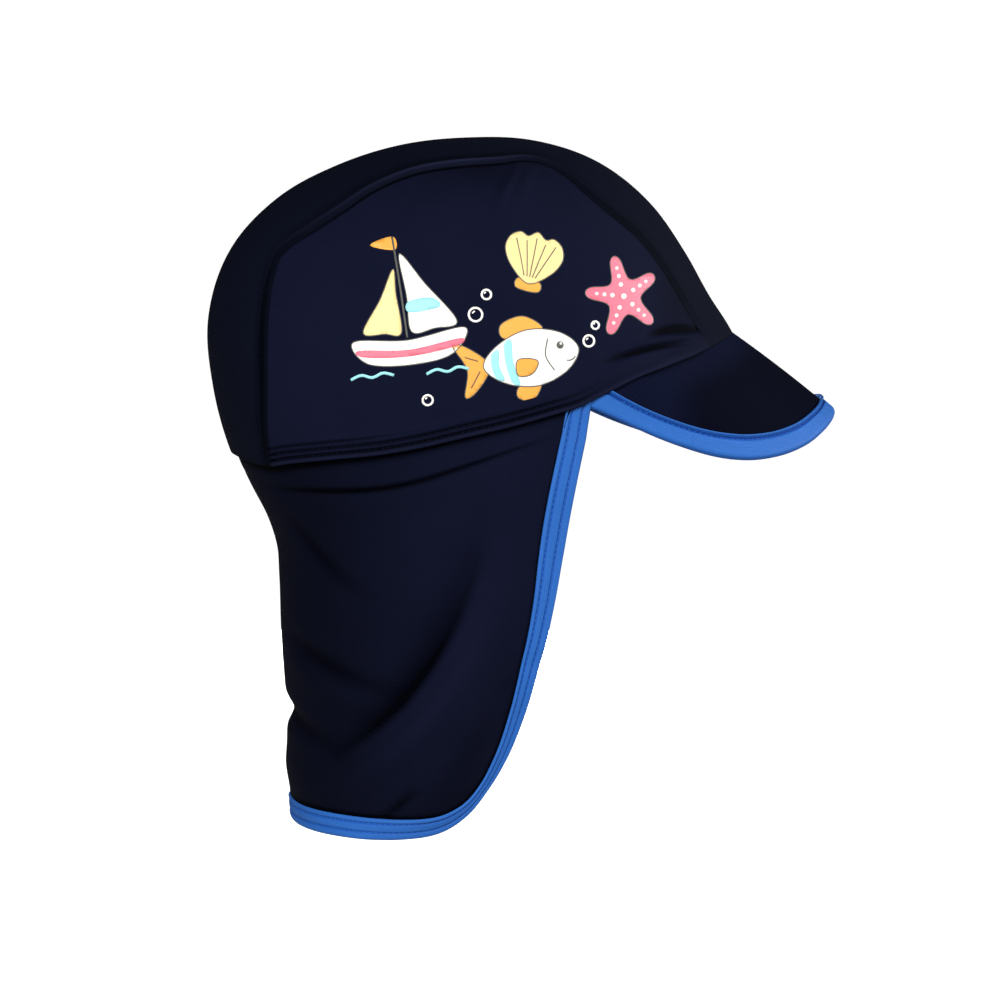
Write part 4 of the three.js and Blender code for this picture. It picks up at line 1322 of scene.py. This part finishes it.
def mottle_group():
    """Slow changes of tone over a dyed cloth, and the faint streaks of its courses."""
    tree = bpy.data.node_groups.new("Dye mottle", "ShaderNodeTree")
    group_socket(tree, "Vector", "NodeSocketVector")
    group_socket(tree, "Size in mm", "NodeSocketFloat", 18.0)
    group_socket(tree, "Amount", "NodeSocketFloat", 0.12)
    group_socket(tree, "Tone", "NodeSocketFloat", out=True)
    given = tree.nodes.new("NodeGroupInput")
    done = tree.nodes.new("NodeGroupOutput")
    scale = math_node(tree, "DIVIDE", 1.0, given.outputs["Size in mm"])
    patches = tree.nodes.new("ShaderNodeTexNoise")
    patches.inputs["Detail"].default_value = 3.0
    tree.links.new(given.outputs["Vector"], patches.inputs["Vector"])
    tree.links.new(scale, patches.inputs["Scale"])
    stretch = tree.nodes.new("ShaderNodeVectorMath")
    stretch.operation = "MULTIPLY"
    stretch.inputs[1].default_value = (0.09, 1.1, 1.0)
    tree.links.new(given.outputs["Vector"], stretch.inputs[0])
    streaks = tree.nodes.new("ShaderNodeTexNoise")
    streaks.inputs["Scale"].default_value = 1.0
    streaks.inputs["Detail"].default_value = 2.0
    tree.links.new(stretch.outputs[0], streaks.inputs["Vector"])
    both = math_node(tree, "MULTIPLY_ADD", streaks.outputs["Fac"], 0.6, patches.outputs["Fac"])
    centred = math_node(tree, "SUBTRACT", both, 0.8)
    amount = math_node(tree, "MULTIPLY", given.outputs["Amount"], 2.0)
    tone = math_node(tree, "MULTIPLY_ADD", centred, amount, 1.0)
    tree.links.new(tone, done.inputs["Tone"])
    return tree


def principled(name, roughness, specular):
    material = bpy.data.materials.new(name)
    material.use_nodes = True
    shader = material.node_tree.nodes["Principled BSDF"]
    shader.inputs["Roughness"].default_value = roughness
    shader.inputs["Specular IOR Level"].default_value = specular
    return material, shader


def cloth_coordinates(tree):
    """The cloth's own coordinates, in mm."""
    node = tree.nodes.new("ShaderNodeUVMap")
    node.uv_map = "cloth"
    return node.outputs["UV"]


def marked(tree, name):
    node = tree.nodes.new("ShaderNodeAttribute")
    node.attribute_name = name
    return node.outputs["Fac"]


def tinted(tree, colour_a, colour_b, share):
    mix = tree.nodes.new("ShaderNodeMix")
    mix.data_type = "RGBA"
    mix.inputs["A"].default_value = (*colour_a, 1)
    mix.inputs["B"].default_value = (*colour_b, 1)
    tree.links.new(share, mix.inputs["Factor"])
    return mix.outputs["Result"]


def scaled_colour(tree, colour, factor):
    scale = tree.nodes.new("ShaderNodeVectorMath")
    scale.operation = "SCALE"
    tree.links.new(colour, scale.inputs[0])
    tree.links.new(factor, scale.inputs["Scale"])
    return scale.outputs[0]


def group_node(tree, group, vector, **values):
    node = tree.nodes.new("ShaderNodeGroup")
    node.node_tree = group
    tree.links.new(vector, node.inputs["Vector"])
    for name, value in values.items():
        node.inputs[name.replace("_", " ")].default_value = value
    return node


def bumped(tree, shader, height, distance, strength=1.0):
    node = tree.nodes.new("ShaderNodeBump")
    node.inputs["Strength"].default_value = strength
    node.inputs["Distance"].default_value = distance * MM
    tree.links.new(height, node.inputs["Height"])
    tree.links.new(node.outputs["Normal"], shader.inputs["Normal"])


def knit_cloth(name, groups, colour, highlight_colour, knit_depth, specular=0.03):
    """Dyed knit: paler where a highlight is painted, and darker where shade is painted in its creases,
    grooves and shaded parts.
    """
    material, shader = principled(name, 0.75, specular)
    shader.inputs["Specular Tint"].default_value = (*SHEEN_TINT, 1)
    tree = material.node_tree
    place = cloth_coordinates(tree)
    knit = group_node(tree, groups["knit"], place)
    mottle = group_node(tree, groups["mottle"], place)
    # Paler towards the highlight colour where a highlight is painted
    painted_highlight = math_node(tree, "MULTIPLY", marked(tree, "painted_highlight"), HIGHLIGHT_SHARE)
    base = tinted(tree, colour, highlight_colour, painted_highlight)
    tone = math_node(tree, "MULTIPLY", knit.outputs["Shade"], mottle.outputs["Tone"])
    # Darker where shade is painted
    painted_shade = math_node(tree, "MINIMUM", marked(tree, "painted_shade"), PAINTED_SHADE_MOST)
    light_left = math_node(tree, "MULTIPLY_ADD", painted_shade, -PAINTED_SHADE_LOSS, 1.0)
    tone = math_node(tree, "MULTIPLY", tone, light_left)
    tree.links.new(scaled_colour(tree, base, tone), shader.inputs["Base Color"])
    bumped(tree, shader, knit.outputs["Height"], knit_depth)
    return material


def ribbed_tape(name, groups):
    """Elastic tape: fine ribs along it, crossed by its weave, and darker where shade is painted in its
    stitched grooves and round its fold.
    """
    material, shader = principled(name, 0.6, 0.12)
    tree = material.node_tree
    place = cloth_coordinates(tree)
    split = tree.nodes.new("ShaderNodeSeparateXYZ")
    tree.links.new(place, split.inputs[0])
    ribs = math_node(tree, "SINE", math_node(tree, "MULTIPLY", split.outputs["Y"], 8.4))
    weave = math_node(tree, "SINE", math_node(tree, "MULTIPLY", split.outputs["X"], 9.6))
    height = math_node(tree, "MULTIPLY_ADD", ribs, 0.6, math_node(tree, "MULTIPLY", weave, 0.5))
    mottle = group_node(tree, groups["mottle"], place, Amount=0.1)
    # Deeper blue where shade is painted in the grooves and round the fold
    groove = math_node(tree, "MULTIPLY", marked(tree, "groove"), 0.75)
    base = tinted(tree, BLUE, BLUE_DEEP, groove)
    shade = math_node(tree, "MULTIPLY_ADD", height, 0.06, 0.97)
    tone = math_node(tree, "MULTIPLY", mottle.outputs["Tone"], shade)
    tree.links.new(scaled_colour(tree, base, tone), shader.inputs["Base Color"])
    bumped(tree, shader, height, 0.04)
    return material


def thread(name, colour):
    """Sewing thread, with its twist."""
    material, shader = principled(name, 0.7, 0.03)
    tree = material.node_tree
    place = tree.nodes.new("ShaderNodeTexCoord")
    twist = tree.nodes.new("ShaderNodeTexNoise")
    twist.inputs["Scale"].default_value = 3000.0
    tree.links.new(place.outputs["Object"], twist.inputs["Vector"])
    tone = math_node(tree, "MULTIPLY_ADD", twist.outputs["Fac"], 0.5, 0.75)
    shade = tinted(tree, colour, tuple(1.3 * v for v in colour), tone)
    tree.links.new(shade, shader.inputs["Base Color"])
    bumped(tree, shader, twist.outputs["Fac"], 0.05)
    return material


def print_ink(name, groups, colour):
    """Flat ink on knit cloth: the knit shows through as a faint relief."""
    material, shader = principled(name, 0.5, 0.3)
    tree = material.node_tree
    place = cloth_coordinates(tree)
    knit = group_node(tree, groups["knit"], place)
    mottle = group_node(tree, groups["mottle"], place, Amount=0.03)
    faint = math_node(tree, "MULTIPLY_ADD", knit.outputs["Shade"], 0.06, 0.94)
    tone = math_node(tree, "MULTIPLY", faint, mottle.outputs["Tone"])
    plain = tree.nodes.new("ShaderNodeRGB")
    plain.outputs[0].default_value = (*colour, 1)
    tree.links.new(scaled_colour(tree, plain.outputs[0], tone), shader.inputs["Base Color"])
    bumped(tree, shader, knit.outputs["Height"], 0.03)
    return material


# Stage

def turned(azimuth, elevation):
    """The direction from the cap towards a camera or light."""
    a, e = np.radians(azimuth), np.radians(elevation)
    return Vector((np.sin(a) * np.cos(e), -np.cos(a) * np.cos(e), np.sin(e)))


def aim(thing, direction):
    thing.rotation_euler = direction.to_track_quat("Z", "Y").to_euler()


def add_camera():
    data = bpy.data.cameras.new("camera")
    data.sensor_width = SENSOR
    data.lens = SENSOR * VIEW_DISTANCE / VIEW_SPAN
    data.clip_end = 20
    camera = bpy.data.objects.new("camera", data)
    back = turned(VIEW_AZIMUTH, VIEW_ELEVATION)
    camera.location = (Vector(VIEW_CENTRE) + back * VIEW_DISTANCE) * MM
    aim(camera, back)
    bpy.context.scene.collection.objects.link(camera)
    bpy.context.scene.camera = camera


def add_light(name, azimuth, elevation, distance, size, power):
    data = bpy.data.lights.new(name, "AREA")
    data.shape = "DISK"
    data.size = size
    data.energy = power
    light = bpy.data.objects.new(name, data)
    direction = turned(azimuth, elevation)
    light.location = Vector(VIEW_CENTRE) * MM + direction * distance
    aim(light, direction)
    bpy.context.scene.collection.objects.link(light)


def add_stage():
    """A white floor well below the cap, a white surround and soft lights, the weakest from behind."""
    scene = bpy.context.scene
    scene.view_settings.view_transform = "Standard"
    world = bpy.data.worlds.new("studio")
    world.use_nodes = True
    tree = world.node_tree
    back = tree.nodes["Background"]
    back.inputs["Color"].default_value = (1, 1, 1, 1)
    seen = tree.nodes.new("ShaderNodeLightPath")
    strength = math_node(tree, "MULTIPLY_ADD", seen.outputs["Is Camera Ray"], 1.02 - SURROUND, SURROUND)
    tree.links.new(strength, back.inputs["Strength"])
    scene.world = world
    floor_mesh = bpy.data.meshes.new("floor")
    reach = 12.0
    floor_z = FLOOR_Z * MM
    corners = [(x * reach, y * reach, floor_z) for x, y in ((-1, -1), (1, -1), (1, 1), (-1, 1))]
    floor_mesh.from_pydata(corners, [], [(0, 1, 2, 3)])
    floor = bpy.data.objects.new("floor", floor_mesh)
    scene.collection.objects.link(floor)
    material, shader = principled("white_floor", 0.9, 0.0)
    shader.inputs["Base Color"].default_value = (0.5, 0.5, 0.5, 1)
    shader.inputs["Emission Color"].default_value = (1, 1, 1, 1)
    lit = material.node_tree.nodes.new("ShaderNodeLightPath")
    material.node_tree.links.new(lit.outputs["Is Camera Ray"], shader.inputs["Emission Strength"])
    floor_mesh.materials.append(material)
    add_light("key", -22, 24, 2.4, 1.2, 72)
    add_light("front", 92, 18, 2.4, 1.2, 60)
    add_light("rear", 174, -3, 2.4, 0.7, 44)


# Put together

def attach(piece, slot, *nodes):
    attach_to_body(piece, "root")
    if nodes:
        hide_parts(*nodes)
    return piece


def build():
    add_camera()
    add_stage()
    groups = {"knit": knit_group(), "mottle": mottle_group()}
    crown_cloth = knit_cloth("crown_knit", groups, NAVY, NAVY_PAINTED_HIGHLIGHT, 0.06)
    # The centre panel's knit is a darker copy of the crown's, as painted shade
    shaded_strip_cloth = knit_cloth("shaded_strip_knit", groups, NAVY_STRIP_SHADED, NAVY_PAINTED_HIGHLIGHT, 0.06)
    flap_cloth = knit_cloth("flap_knit", groups, NAVY, NAVY_PAINTED_HIGHLIGHT, 0.06)
    peak_cloth = knit_cloth("peak_knit", groups, NAVY_DEEP, NAVY_PAINTED_HIGHLIGHT, 0.03, specular=0.016)
    tape = ribbed_tape("blue_tape", groups)
    navy_thread = thread("navy_thread", THREAD_NAVY)
    blue_thread = thread("blue_thread", THREAD_BLUE)
    colours = {"white": PRINT_WHITE, "aqua": PRINT_AQUA, "pink": PRINT_PINK, "orange": PRINT_ORANGE,
               "yellow": PRINT_YELLOW, "grey": PRINT_GREY}
    inks = {name: print_ink("ink_" + name, groups, colour) for name, colour in colours.items()}
    tree = stitch_tree()

    centre = attach(centre_panel(shaded_strip_cloth), "crown_cloth", "crown_centre_panel")
    right = side_panel("right_panel_cloth", -1, crown_cloth)
    attach(right, "crown_cloth", "crown_side_panel_right")
    left = side_panel("left_panel_cloth", 1, crown_cloth)
    attach(left, "crown_cloth", "crown_side_panel_left")
    brim = attach(peak(peak_cloth), "peak_cloth", "peak")
    brim_tape = attach(peak_tape(tape), "binding_tape", "peak_binding")
    flap = attach(neck_flap(flap_cloth), "flap_cloth", "neck_flap")
    edge_tape = attach(flap_tape(tape), "binding_tape", "flap_binding")

    crown_lines = crown_stitch_lines()
    crown_rows = stitches("crown_stitches", tree, crown_lines, navy_thread, seed=3, pitch=2.4, length=2.3)
    attach(crown_rows, "crown_cloth")
    flap_lines = tape_stitch_lines(flap_tape_surface, flap_tape_lift, FLAP_TAPE_ROWS, FLAP_WALL, trim=8)
    flap_rows = stitches("flap_tape_stitches", tree, flap_lines, blue_thread, seed=5, pitch=2.2, length=1.5)
    attach(flap_rows, "binding_tape")
    peak_lines = tape_stitch_lines(peak_tape_surface, peak_tape_lift, (PEAK_GROOVE_AT,), PEAK_WALL, trim=10)
    peak_rows = stitches("peak_tape_stitches", tree, peak_lines, blue_thread, seed=7, pitch=2.2, length=1.5)
    attach(peak_rows, "binding_tape")
    motifs = attach(side_print(inks), "crown_cloth")


build()
